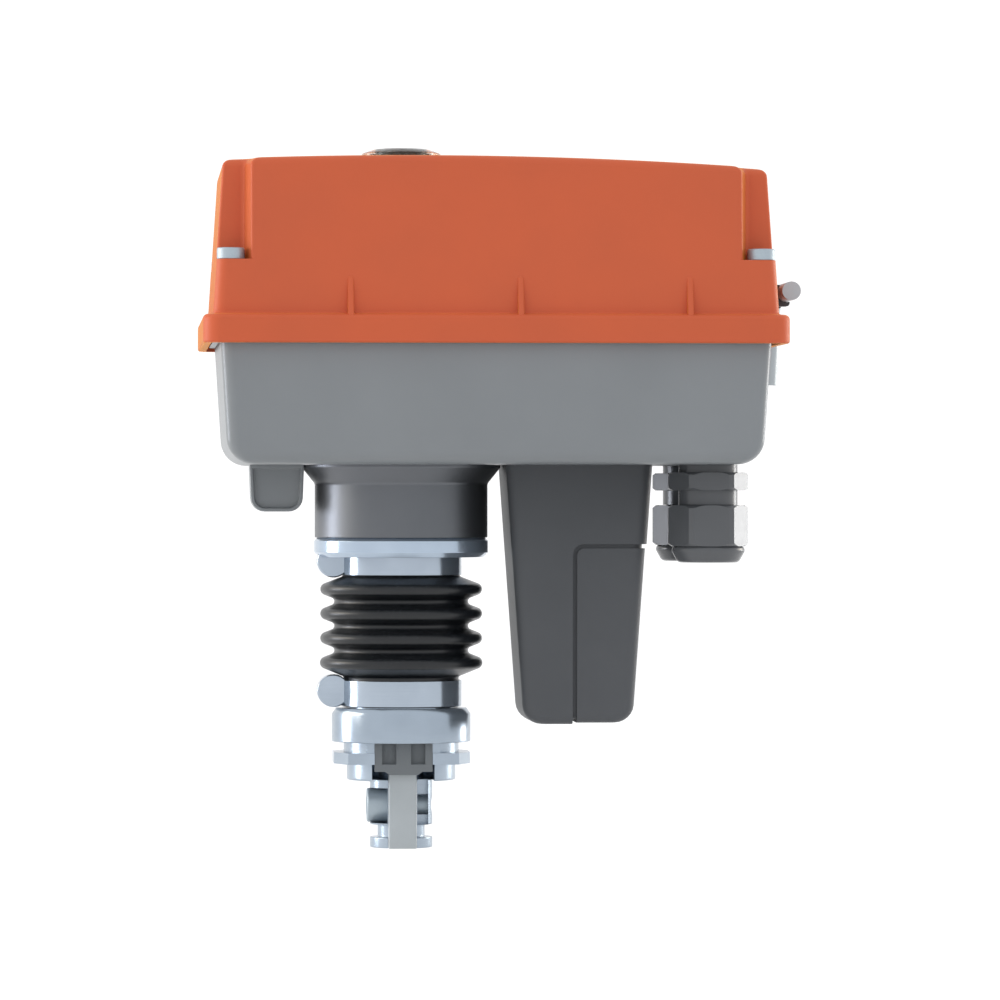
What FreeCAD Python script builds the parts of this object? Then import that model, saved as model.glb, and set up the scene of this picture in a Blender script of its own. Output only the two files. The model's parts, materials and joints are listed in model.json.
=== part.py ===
"""Linear electric valve actuator.

Millimetres, +Z up. The origin is on the stem's axis, halfway through the steel mounting flange.
The front of the housing faces -Y. Everything below the flange hangs on the spindle, shown at
mid-stroke.
"""
import FreeCAD
import Part
import math
import os

Vector = FreeCAD.Vector
UP = Vector(0, 0, 1)
ALONG_X = Vector(1, 0, 0)
ALONG_Y = Vector(0, 1, 0)

# Housing
HOUSING_X = 26.6
WALL = 2.6
DRAFT_DEG = 3.6
BASE_HALF_WIDTH = 84.2
BASE_HALF_DEPTH = 55.4
BASE_HEIGHT = 41.8
BASE_END_RADIUS = 7.5
BASE_EDGE_RADIUS = 4.0
LIP_HEIGHT = 4.0
LIP_CLEARANCE = 0.9
COVER_PROUD_X = 2.0
COVER_PROUD_Y = 0.6
COVER_HALF_WIDTH = BASE_HALF_WIDTH + COVER_PROUD_X
COVER_HALF_DEPTH = BASE_HALF_DEPTH + COVER_PROUD_Y
COVER_ARCH_HEIGHT = 48.4
COVER_ARCH_RADIUS = 1490.0
COVER_ARCH_X = 5.0
COVER_CORNER_RADIUS = 4.0
COVER_TOP_RADIUS = 2.4
RIM_PROUD = 3.1
RIM_HALF_WIDTH = COVER_HALF_WIDTH + RIM_PROUD
RIM_HALF_DEPTH = COVER_HALF_DEPTH + RIM_PROUD
LIP_HALF_WIDTH = RIM_HALF_WIDTH - WALL - LIP_CLEARANCE
LIP_HALF_DEPTH = RIM_HALF_DEPTH - WALL - LIP_CLEARANCE
LIP_RADIUS = 5.0
RIM_HEIGHT = 8.8
RIM_DROP = 5.1
RIM_CORNER_RADIUS = 6.0
RIM_PLATE = 2.2
SEAL_THICKNESS = 1.5
SEAL_WIDTH = 3.4
SEAL_INSET = 0.4
RIB_SPACING = 51.6
RIB_MIDDLE_X = 33.6
RIB_THICKNESS = 2.0
RIB_HEIGHT = 11.6

# Corner screws of the cover
LEDGE_HEIGHT = 16.6
NOTCH_WIDTH = 9.6
NOTCH_DEPTH = 10.2
NOTCH_FLARE = 2.0
NOTCH_RADIUS = 1.4
COVER_SCREW_INSET_X = 3.4
COVER_SCREW_INSET_Y = 3.4
COVER_SCREW_RADIUS = 2.0
COVER_SCREW_HEAD_RADIUS = 4.2
COVER_SCREW_HEAD_HEIGHT = 3.5
COVER_SCREW_BITE = 14.0
SCREW_BOSS_RADIUS = 4.4
SCREW_CLEARANCE = 0.3

# Neck and mounting flange
FLANGE_RADIUS = 27.2
FLANGE_THICKNESS = 6.1
FLANGE_EDGE = 0.8
FLANGE_SPIGOT_RADIUS = 19.0
FLANGE_SPIGOT_HEIGHT = 1.0
NECK_RADIUS = 27.0
NECK_HEIGHT = 22.6
NECK_CONE_RADIUS = 31.0
NECK_CONE_HEIGHT = 5.8
NECK_BORE_RADIUS = 12.0
NECK_SPIGOT_RADIUS = 16.0
NECK_SPIGOT_HEIGHT = 5.4
NECK_SLOT_REACH = 15.6
NECK_SCREW_CIRCLE = 23.0
NECK_SCREW_RADIUS = 2.0

# Spindle and its drive nut
SPINDLE_RADIUS = 6.0
THREAD_RADIUS = 5.0
THREAD_LEAD = 4.0
STROKE_HALF = 10.0
RUNNING_CLEARANCE = 0.05
BUSH_RADIUS = 8.0
BUSH_LENGTH = 12.0
KEY_PIN_RADIUS = 2.0
KEY_PIN_HALF_LENGTH = 14.8
NUT_RADIUS = 9.0
NUT_JOURNAL_RADIUS = 6.3
BEARING_WIDTH = 4.6
BEARING_RADIUS = 13.0
UPPER_BEARING_RADIUS = 10.0

# Gear train
DRIVE_MODULE = 1.0
DRIVE_TEETH = 48
COMPOUND_PINION_TEETH = 14
COMPOUND_WHEEL_TEETH = 33
MOTOR_PINION_TEETH = 14
FEEDBACK_MODULE = 0.75
NUT_PINION_TEETH = 20
FEEDBACK_WHEEL_TEETH = 50
FEEDBACK_PINION_TEETH = 14
INDICATOR_TEETH = 56
FEEDBACK_ANGLE_DEG = 135.0
BACKLASH = 0.16
ADDENDUM = 0.88
DEDENDUM = 1.25
PRESSURE_ANGLE_DEG = 20.0
COMPOUND_AXLE_RADIUS = 2.0
FEEDBACK_SHAFT_RADIUS = 1.5
INDICATOR_SHAFT_RADIUS = 2.0
MOTOR_SHAFT_RADIUS = 1.6

# Heights inside the case, above its floor
COMPOUND_WHEEL_RISE = 6.2
WHEEL_WIDTH = 4.0
DRIVE_GEAR_RISE = 11.6
DRIVE_GEAR_WIDTH = 5.0
FEEDBACK_WHEEL_RISE = 18.0
FEEDBACK_WHEEL_WIDTH = 2.6
GEAR_PLATE_RISE = 22.6
GEAR_PLATE_THICKNESS = 2.5
INDICATOR_GEAR_RISE = 49.0
BRIDGE_RISE = 54.3
BRIDGE_THICKNESS = 2.0
BOARD_RISE = 44.3
PILLAR_RADIUS = 3.0

# Circuit board and what stands on it
BOARD_THICKNESS = 1.6
BOARD_LEFT = 37.0
BOARD_RIGHT = HOUSING_X + BASE_HALF_WIDTH - 7.3
BOARD_HALF_DEPTH = BASE_HALF_DEPTH - 8.9
BOARD_HOLE_INSET = 3.5
BOARD_HOLE_INSET_LEFT = 5.0
BOARD_POST_RADIUS = 3.5
SMALL_SCREW_RADIUS = 1.25
SMALL_SCREW_HEAD_RADIUS = 2.4
SMALL_SCREW_HEAD_HEIGHT = 1.8
SMALL_SCREW_LENGTH = 8.0
TERMINAL_WAYS = 8
TERMINAL_PITCH = 5.0
TERMINAL_DEPTH = 11.0
TERMINAL_HEIGHT = 11.0
TERMINAL_SLOPE = 3.6
TERMINAL_INSET = 8.5
CAPACITOR_RADIUS = 6.3
CAPACITOR_HEIGHT = 18.0
RELAY_WIDTH = 12.0
RELAY_LENGTH = 18.0
RELAY_HEIGHT = 11.0

# Motor and its housing
MOTOR_RADIUS = 14.5
MOTOR_LENGTH = 66.0
MOTOR_BOX_X = 54.4
MOTOR_BOX_HALF_WIDTH = 22.8
MOTOR_BOX_HALF_DEPTH = 21.0
MOTOR_BOX_HEIGHT = 80.4
MOTOR_BOX_DRAFT_DEG = 4.0
MOTOR_BOX_SIDE_DRAFT_DEG = 1.2
MOTOR_BOX_END_RADIUS = 5.5
MOTOR_BOX_EDGE_RADIUS = 2.5
MOTOR_BOX_WALL = 2.2
BOX_SCREW_HALF_X = 16.4
BOX_SCREW_HALF_Y = 14.6
BOX_BOSS_RADIUS = 3.6
PANEL_STEP = 0.8
PANEL_TOP_DROP = 25.2
PANEL_SIDE_X = 1.4

# Lug below the left end
LUG_INSET = 18.6
LUG_X = HOUSING_X - BASE_HALF_WIDTH + LUG_INSET
LUG_HALF_WIDTH = 8.5
LUG_HEIGHT = 14.5
LUG_HALF_DEPTH = 7.0
LUG_RADIUS = 4.4
LUG_RIM = 1.1
LUG_POCKET = 2.0

# Cable glands
GLAND_INSET = 17.1
GLAND_X = HOUSING_X + BASE_HALF_WIDTH - GLAND_INSET
GLAND_HALF_SPACING = 26.0
GLAND_THREAD_RADIUS = 8.0
GLAND_NECK_RADIUS = 9.1
GLAND_FLATS = 22.4
GLAND_CORNER_RADIUS = 12.4
GLAND_COLLAR_DROP = 2.4
GLAND_COLLAR_HEIGHT = 5.5
GLAND_NECK_HEIGHT = 4.6
GLAND_CAP_HEIGHT = 12.7
GLAND_DOME_HEIGHT = 5.0
CABLE_BORE_RADIUS = 4.0
LOCKNUT_FLATS = 20.0
LOCKNUT_CORNER_RADIUS = 10.9
LOCKNUT_HEIGHT = 4.0
LOCKNUT_PAD = 2.6

# Bellows and clamps
BELLOWS_CUFF_RADIUS = 18.3
BELLOWS_COLLAR_RADIUS = 16.5
BELLOWS_PEAK_RADIUS = 25.3
BELLOWS_VALLEY_RADIUS = 20.6
BELLOWS_WALL = 1.4
BELLOWS_PITCH = 7.65
BELLOWS_TURNS = 4
BELLOWS_FIRST_PEAK = 10.0
BELLOWS_CUFF_GAP = 0.3
CLAMP_BAND_THICKNESS = 0.6
CLAMP_BAND_WIDTH = 8.0
CUFF_RECESS = 2.8
CLAMP_BARREL_RADIUS = 5.1
CLAMP_BARREL_X = -21.3
CLAMP_BARREL_HALF_LENGTH = 3.6
CLAMP_HEAD_LENGTH = 2.0
LOWER_BAND_DROP = 38.4
UPPER_BARREL_DROP = 1.25
LOWER_BARREL_DROP = 41.6
CLAMP_SCREW_X = CLAMP_BARREL_X - 1.0
CLAMP_SCREW_RADIUS = 2.0

# Stem head, fork and clamp
HEAD_RADIUS = 21.7
HEAD_DROP = 47.0
HEAD_HEIGHT = 11.6
FORK_GAP = 1.7
PLATE_HEIGHT = 4.4
PLATE_HALF_WIDTH = 21.2
FORK_HALF_OPENING = 9.0
SPACER_RADIUS = 20.8
SPACER_FRONT_HALF_WIDTH = 11.3
SPACER_CORNER_Y = -6.0
LATCH_FRONT = -15.4
LATCH_BACK = -11.0
LATCH_WINDOW_X = 4.5
LATCH_TONGUE = 2.7
COLLAR_RADIUS = 17.0
COLLAR_HEIGHT = 6.4
ADAPTER_RADIUS = 9.8
ADAPTER_GROOVE_RADIUS = 7.4
ADAPTER_NECK_RADIUS = 6.4
ADAPTER_HEAD_RADIUS = 8.6
ADAPTER_BODY_HEIGHT = 12.3
ADAPTER_GROOVE_HEIGHT = 3.8
ADAPTER_DISC_HEIGHT = 3.4
ADAPTER_FIT = 0.2
CLAMP_WEB_X = 4.6
CLAMP_HEAD_REACH = 10.8
CLAMP_NUT_REACH = 9.0
CLAMP_BOLT_RISE = 6.0
ADAPTER_SKIN = 1.6
STEM_BORE_RADIUS = 3.5
LOCK_BAR_BACK = -6.5
LOCK_BAR_THICKNESS = 4.1
LOCK_BAR_HALF_WIDTH = 4.45
CLAMP_BOLT_HEAD_RADIUS = 5.3
CLAMP_BOLT_RADIUS = 1.8
CLAMP_NUT_RADIUS = 3.1

# Indicator on top
LENS_RADIUS = 12.4
LENS_HEIGHT = 4.9
LENS_WALL = 0.4
LENS_GAP = 0.25
LENS_FOOT = 0.6
LENS_SHOULDER_RADIUS = 8.8
LENS_SHOULDER_DROP = 0.3
LENS_EDGE_DROP = 1.6
LENS_CROWN_RADIUS = 4.7
LENS_FLANGE = 2.4
INDICATOR_DISC_RADIUS = 8.1
INDICATOR_DISC_HEIGHT = 2.4

# Hand crank at the right side
CRANK_RADIUS = 2.9
CRANK_GAP = 0.4
CRANK_X = HOUSING_X + RIM_HALF_WIDTH + CRANK_GAP + CRANK_RADIUS
CRANK_RISE = 9.0
CRANK_FRONT_Y = -30.0
CRANK_BACK_Y = 26.0
CRANK_ARM_LENGTH = 28.8
CRANK_BEND_RADIUS = 8.0
CRANK_CLIP_FRONT_Y = -12.0
CRANK_CLIP_BACK_Y = 10.0
CRANK_CLIP_WIDTH = 5.0

# Levels that follow
FLANGE_TOP = FLANGE_THICKNESS / 2
FLANGE_LOW = -FLANGE_THICKNESS / 2
BASE_LOW = FLANGE_TOP + NECK_HEIGHT
FLOOR = BASE_LOW + WALL
BASE_TOP = BASE_LOW + BASE_HEIGHT
LOCKNUT_SEAT = FLOOR + LOCKNUT_PAD
RIM_LOW = BASE_TOP - RIM_DROP
RIM_TOP = RIM_LOW + RIM_HEIGHT
LEDGE = RIM_TOP + LEDGE_HEIGHT
ARCH_TOP = RIM_TOP + COVER_ARCH_HEIGHT
COVER_LAND = BASE_TOP + SEAL_THICKNESS
COMPOUND_X = DRIVE_MODULE * (DRIVE_TEETH + COMPOUND_PINION_TEETH) / 2
MOTOR_X = COMPOUND_X + DRIVE_MODULE * (COMPOUND_WHEEL_TEETH + MOTOR_PINION_TEETH) / 2
FEEDBACK_REACH = FEEDBACK_MODULE * (NUT_PINION_TEETH + FEEDBACK_WHEEL_TEETH) / 2
FEEDBACK_X = FEEDBACK_REACH * math.cos(math.radians(FEEDBACK_ANGLE_DEG))
FEEDBACK_Y = FEEDBACK_REACH * math.sin(math.radians(FEEDBACK_ANGLE_DEG))
HEAD_TOP = FLANGE_LOW - HEAD_DROP
HEAD_LOW = HEAD_TOP - HEAD_HEIGHT
PLATE_TOP = HEAD_LOW - FORK_GAP
PLATE_LOW = PLATE_TOP - PLATE_HEIGHT
CRANK_Z = RIM_TOP + CRANK_RISE
SPINDLE_SHOULDER = BASE_LOW - 4.5
SPINDLE_TOP = FLOOR + 36.5
KEY_PIN_Z = FLANGE_TOP + FLANGE_SPIGOT_HEIGHT + KEY_PIN_RADIUS + STROKE_HALF + 0.3
NUT_LOW = FLOOR + NECK_SPIGOT_HEIGHT - BEARING_WIDTH + 0.3
NUT_TOP = FLOOR + GEAR_PLATE_RISE + GEAR_PLATE_THICKNESS + 1.5
NUT_THREAD_LOW = SPINDLE_SHOULDER + STROKE_HALF + 0.6
MOTOR_TOP = BASE_LOW
MOTOR_SHAFT_LOW = MOTOR_TOP - 8.0
GLAND_CAP_TOP = BASE_LOW - GLAND_COLLAR_DROP - GLAND_COLLAR_HEIGHT - GLAND_NECK_HEIGHT
GLAND_CAP_LOW = GLAND_CAP_TOP - GLAND_CAP_HEIGHT
GEAR_PLATE_LOW = FLOOR + GEAR_PLATE_RISE
GEAR_PLATE_TOP = GEAR_PLATE_LOW + GEAR_PLATE_THICKNESS
BRIDGE_LOW = FLOOR + BRIDGE_RISE
BRIDGE_TOP = BRIDGE_LOW + BRIDGE_THICKNESS
DISC_TOP = ARCH_TOP + LENS_HEIGHT - LENS_SHOULDER_DROP - LENS_WALL - LENS_GAP
DISC_LOW = DISC_TOP - INDICATOR_DISC_HEIGHT
BOARD_LOW = FLOOR + BOARD_RISE
UPPER_BAND_TOP = FLANGE_LOW + CUFF_RECESS - 0.4
LOWER_BAND_TOP = FLANGE_LOW - LOWER_BAND_DROP
UPPER_BARREL_Z = FLANGE_LOW - UPPER_BARREL_DROP
LOWER_BARREL_Z = FLANGE_LOW - LOWER_BARREL_DROP
ADAPTER_BODY_TOP = PLATE_LOW - COLLAR_HEIGHT
ADAPTER_BODY_LOW = ADAPTER_BODY_TOP - ADAPTER_BODY_HEIGHT
ADAPTER_DISC_TOP = ADAPTER_BODY_LOW - ADAPTER_GROOVE_HEIGHT
ADAPTER_LOW = ADAPTER_DISC_TOP - ADAPTER_DISC_HEIGHT
CLAMP_BOLT_Z = ADAPTER_BODY_LOW + CLAMP_BOLT_RISE


def cylinder(x, y, low, high, radius, bore=0.0):
    """Upright round bar or tube."""
    body = Part.makeCylinder(radius, high - low, Vector(x, y, low), UP)
    if bore > 0:
        body = body.cut(Part.makeCylinder(bore, high - low, Vector(x, y, low), UP))
    return body


def bar(start, direction, length, radius):
    return Part.makeCylinder(radius, length, start, direction)


def block(x_range, y_range, z_range):
    size = [pair[1] - pair[0] for pair in (x_range, y_range, z_range)]
    return Part.makeBox(size[0], size[1], size[2], Vector(x_range[0], y_range[0], z_range[0]))


def joined(shapes):
    body = shapes[0]
    for shape in shapes[1:]:
        body = body.fuse(shape)
    return body.removeSplitter()


def outline(corners, place):
    """Closed wire through corners (u, w, radius), each rounded by its own radius."""
    count = len(corners)
    joints = []
    for index, (u, w, radius) in enumerate(corners):
        here = Vector(u, w, 0)
        before = Vector(corners[index - 1][0], corners[index - 1][1], 0)
        after = Vector(corners[(index + 1) % count][0], corners[(index + 1) % count][1], 0)
        if radius == 0:
            joints.append((here, here, here))
            continue
        back = (before - here).normalize()
        ahead = (after - here).normalize()
        half = back.getAngle(ahead) / 2
        middle = (back + ahead).normalize()
        reach = radius / math.tan(half)
        nearest = here + middle * (radius / math.sin(half) - radius)
        joints.append((here + back * reach, nearest, here + ahead * reach))
    edges = []
    for index, (start, middle, end) in enumerate(joints):
        following = joints[(index + 1) % count][0]
        if (end - start).Length > 1e-6:
            edges.append(Part.Arc(place(start), place(middle), place(end)).toShape())
        if (following - end).Length > 1e-6:
            edges.append(Part.LineSegment(place(end), place(following)).toShape())
    return Part.Wire(edges)


def prism(corners, place, push):
    return Part.Face(outline(corners, place)).extrude(push)


def plate(corners, low, high):
    """Flat plate with rounded corners, lying level."""
    return prism(corners, lambda p: Vector(p.x, p.y, low), Vector(0, 0, high - low))


def rectangle(centre_x, half_width, half_depth, radius):
    return [
        (centre_x - half_width, -half_depth, radius),
        (centre_x + half_width, -half_depth, radius),
        (centre_x + half_width, half_depth, radius),
        (centre_x - half_width, half_depth, radius),
    ]


def turned(corners, x=0.0, y=0.0):
    """Body of revolution about the upright line at x, y, from (radius, height) corners."""
    wire = outline(corners, lambda p: Vector(x + p.x, y, p.y))
    return Part.Face(wire).revolve(Vector(x, y, 0), UP, 360)


def drafted_box(centre_x, half_width, half_depth, low, high, draft, side_draft, end_radius, edge_radius):
    """Box that narrows downwards, with rounded ends along the bottom and rounded front edges."""
    fall = high - low
    foot_width = half_width - fall * math.tan(math.radians(draft))
    foot_depth = half_depth - fall * math.tan(math.radians(side_draft))
    front = [
        (centre_x - half_width, high, 0),
        (centre_x - foot_width, low, end_radius),
        (centre_x + foot_width, low, end_radius),
        (centre_x + half_width, high, 0),
    ]
    side = [(-half_depth, high, 0), (-foot_depth, low, 0), (foot_depth, low, 0), (half_depth, high, 0)]
    long_way = prism(front, lambda p: Vector(p.x, -half_depth, p.y), Vector(0, 2 * half_depth, 0))
    left = centre_x - half_width
    across = prism(side, lambda p: Vector(left, p.x, p.y), Vector(2 * half_width, 0, 0))
    body = long_way.common(across)
    rounded = []
    for face in body.Faces:
        if abs(face.normalAt(0, 0).y) < 0.9:
            continue
        for edge in face.Edges:
            if edge.BoundBox.ZMax - high < -1e-4 or edge.BoundBox.ZMin - high < -1e-4:
                rounded.append(edge)
    return body.makeFillet(edge_radius, rounded)


def involute(angle):
    return math.tan(angle) - angle


def gear(x, y, low, high, teeth, module, bore, first_tooth=0.0, flank_steps=2):
    """Spur gear with involute flanks, its first tooth at the angle first_tooth in radians."""
    pitch_radius = module * teeth / 2
    base_radius = pitch_radius * math.cos(math.radians(PRESSURE_ANGLE_DEG))
    tip_radius = pitch_radius + ADDENDUM * module
    root_radius = pitch_radius - DEDENDUM * module
    half_tooth = math.pi / (2 * teeth) - BACKLASH / (4 * pitch_radius)
    half_at_base = half_tooth + involute(math.radians(PRESSURE_ANGLE_DEG))
    points = []
    start_radius = max(base_radius, root_radius)
    flank_height = tip_radius - start_radius
    radii = [start_radius + flank_height * step / flank_steps for step in range(flank_steps + 1)]
    if root_radius < base_radius:
        radii.insert(0, root_radius)
    for tooth in range(teeth):
        middle = first_tooth + 2 * math.pi * tooth / teeth
        flank = []
        for radius in radii:
            turn = math.acos(min(1.0, base_radius / radius))
            flank.append((radius, half_at_base - involute(turn)))
        for radius, half in flank:
            points.append((radius, middle - half))
        for radius, half in reversed(flank):
            points.append((radius, middle + half))
    corners = [Vector(x + r * math.cos(a), y + r * math.sin(a), low) for r, a in points]
    wire = Part.makePolygon(corners + corners[:1])
    body = Part.Face(wire).extrude(Vector(0, 0, high - low))
    if bore > 0:
        body = body.cut(Part.makeCylinder(bore, high - low, Vector(x, y, low), UP))
    return body


def meshing_tooth(direction, own_first, own_teeth, other_teeth):
    """First tooth of the gear that meshes with this one, which lies in the given direction."""
    return direction + math.pi + (direction - own_first) * own_teeth / other_teeth + math.pi / other_teeth


def hexagon(x, y, low, high, flats, corner_radius):
    """Upright hexagon with its corners turned down to a round."""
    side = flats / math.sqrt(3)
    corners = []
    for step in range(6):
        angle = math.radians(60 * step)
        corners.append((x + side * math.cos(angle), y + side * math.sin(angle), 0))
    return plate(corners, low, high).common(cylinder(x, y, low, high, corner_radius))


def cap_screw(x, y, seat, bite, radius, head_radius, head_height, socket_radius):
    """Round-headed screw standing upright, its head on the seat and its shank below."""
    shank = cylinder(x, y, seat - bite, seat, radius)
    body = shank.fuse(cylinder(x, y, seat, seat + head_height, head_radius))
    return body.cut(cylinder(x, y, seat + head_height * 0.45, seat + head_height, socket_radius))


def save(name, shape):
    shape.exportStep(f"parts/{name}.step")


def corner_places(half_width, half_depth):
    places = []
    for side in (-1, 1):
        for face in (-1, 1):
            places.append((side, face, HOUSING_X + side * half_width, face * half_depth))
    return places


SCREW_PLACES = corner_places(
    COVER_HALF_WIDTH - COVER_SCREW_INSET_X - COVER_SCREW_RADIUS,
    COVER_HALF_DEPTH - COVER_SCREW_INSET_Y - COVER_SCREW_RADIUS,
)
BOARD_POST_PLACES = [
    (x, side * (BOARD_HALF_DEPTH - BOARD_HOLE_INSET))
    for x in (BOARD_LEFT + BOARD_HOLE_INSET_LEFT, BOARD_RIGHT - BOARD_HOLE_INSET)
    for side in (-1, 1)
]
PLATE_PILLAR_PLACES = [(-34.0, -20.0), (46.5, -24.0), (46.5, 24.0), (-36.0, 35.0)]
BRIDGE_PILLAR_PLACES = [(-34.0, -20.0), (26.0, -20.0), (26.0, 24.0), (-36.0, 35.0)]
NECK_SCREW_PLACES = [
    (NECK_SCREW_CIRCLE * math.cos(math.radians(a)), NECK_SCREW_CIRCLE * math.sin(math.radians(a)))
    for a in (60, 120, 240, 300)
]
MOTOR_SCREW_PLACES = [(MOTOR_X, -10.0), (MOTOR_X, 10.0)]
BOX_SCREW_PLACES = [
    (MOTOR_BOX_X + side * BOX_SCREW_HALF_X, face * BOX_SCREW_HALF_Y)
    for side in (-1, 1)
    for face in (-1, 1)
]
GLAND_PLACES = {"front": -GLAND_HALF_SPACING, "rear": GLAND_HALF_SPACING}


def base_case():
    """Tub with drafted walls, a lip under the cover, floor bosses, and the lug at its left end."""
    tub = drafted_box(HOUSING_X, BASE_HALF_WIDTH, BASE_HALF_DEPTH, BASE_LOW, BASE_TOP,
                      DRAFT_DEG, DRAFT_DEG, BASE_END_RADIUS, BASE_EDGE_RADIUS)
    hollow = drafted_box(HOUSING_X, BASE_HALF_WIDTH - WALL, BASE_HALF_DEPTH - WALL, FLOOR, BASE_TOP,
                         DRAFT_DEG, DRAFT_DEG, BASE_END_RADIUS - WALL, BASE_EDGE_RADIUS - WALL)
    lip = plate(rectangle(HOUSING_X, LIP_HALF_WIDTH, LIP_HALF_DEPTH, LIP_RADIUS),
                BASE_TOP - LIP_HEIGHT, BASE_TOP)
    shell = tub.fuse(lip).cut(hollow)
    posts = []
    for _, _, x, y in SCREW_PLACES:
        column = cylinder(x, y, BASE_TOP - COVER_SCREW_BITE - 2, BASE_TOP, SCREW_BOSS_RADIUS)
        posts.append(column.common(tub.fuse(lip)))
    for x, y in BOARD_POST_PLACES:
        posts.append(cylinder(x, y, FLOOR, FLOOR + BOARD_RISE, BOARD_POST_RADIUS))
    for x, y in PLATE_PILLAR_PLACES:
        posts.append(cylinder(x, y, FLOOR, FLOOR + 2.0, PILLAR_RADIUS + 2))
    for y in GLAND_PLACES.values():
        posts.append(cylinder(GLAND_X, y, FLOOR, LOCKNUT_SEAT, LOCKNUT_CORNER_RADIUS))
    posts.append(cylinder(COMPOUND_X, 0, FLOOR, FLOOR + COMPOUND_WHEEL_RISE - 0.4,
                          COMPOUND_AXLE_RADIUS + 2))
    shell = shell.fuse(posts)
    holes = [
        cylinder(0, 0, BASE_LOW - 1, FLOOR + 1, NECK_SPIGOT_RADIUS),
        cylinder(MOTOR_X, 0, BASE_LOW - 1, FLOOR + 1, 6.0),
        cylinder(COMPOUND_X, 0, FLOOR - 1, FLOOR + COMPOUND_WHEEL_RISE, COMPOUND_AXLE_RADIUS),
    ]
    for x, y in NECK_SCREW_PLACES:
        holes.append(cylinder(x, y, BASE_LOW - 1, FLOOR + 1, NECK_SCREW_RADIUS))
    for x, y in MOTOR_SCREW_PLACES + BOX_SCREW_PLACES:
        holes.append(cylinder(x, y, BASE_LOW - 1, FLOOR + 1, SMALL_SCREW_RADIUS))
    for _, _, x, y in SCREW_PLACES:
        holes.append(cylinder(x, y, BASE_TOP - COVER_SCREW_BITE, BASE_TOP + 1,
                              COVER_SCREW_RADIUS + RUNNING_CLEARANCE))
    for x, y in BOARD_POST_PLACES:
        holes.append(cylinder(x, y, FLOOR + BOARD_RISE - 8, FLOOR + BOARD_RISE + 1, SMALL_SCREW_RADIUS))
    for x, y in PLATE_PILLAR_PLACES:
        holes.append(cylinder(x, y, FLOOR - 1.2, FLOOR + 3, SMALL_SCREW_RADIUS))
    for y in GLAND_PLACES.values():
        holes.append(cylinder(GLAND_X, y, BASE_LOW - 1, LOCKNUT_SEAT + 1, GLAND_THREAD_RADIUS))
    return shell.cut(holes).fuse(lug()).removeSplitter()


def lug():
    """U-shaped lug with a shallow pocket in its front, under the left end of the case."""
    low = BASE_LOW - LUG_HEIGHT
    taper = 0.6
    corners = [
        (LUG_X - LUG_HALF_WIDTH, BASE_LOW, 0),
        (LUG_X - LUG_HALF_WIDTH + taper, low, LUG_RADIUS),
        (LUG_X + LUG_HALF_WIDTH - taper, low, LUG_RADIUS),
        (LUG_X + LUG_HALF_WIDTH, BASE_LOW, 0),
    ]
    body = prism(corners, lambda p: Vector(p.x, -LUG_HALF_DEPTH, p.y), Vector(0, 2 * LUG_HALF_DEPTH, 0))
    inner = [
        (LUG_X - LUG_HALF_WIDTH + LUG_RIM, BASE_LOW - LUG_RIM, 0),
        (LUG_X - LUG_HALF_WIDTH + LUG_RIM + taper, low + LUG_RIM, LUG_RADIUS - LUG_RIM),
        (LUG_X + LUG_HALF_WIDTH - LUG_RIM - taper, low + LUG_RIM, LUG_RADIUS - LUG_RIM),
        (LUG_X + LUG_HALF_WIDTH - LUG_RIM, BASE_LOW - LUG_RIM, 0),
    ]
    pocket = prism(inner, lambda p: Vector(p.x, -LUG_HALF_DEPTH, p.y), Vector(0, LUG_POCKET, 0))
    return body.cut(pocket)


def notch(side, face, inset, low, high):
    """Corner recess of the cover, grown inwards by inset."""
    outer_x = HOUSING_X + side * (COVER_HALF_WIDTH + 5)
    outer_y = face * (COVER_HALF_DEPTH + 5)
    inner_x = COVER_HALF_WIDTH - NOTCH_WIDTH - inset
    inner_y = COVER_HALF_DEPTH - NOTCH_DEPTH - inset
    flare = NOTCH_FLARE * (NOTCH_DEPTH + 5) / NOTCH_DEPTH
    corners = [
        (outer_x, face * inner_y, 0),
        (HOUSING_X + side * inner_x, face * inner_y, NOTCH_RADIUS + inset),
        (HOUSING_X + side * (inner_x - flare), outer_y, 0),
        (outer_x, outer_y, 0),
    ]
    return plate(corners, low, high)


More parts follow.
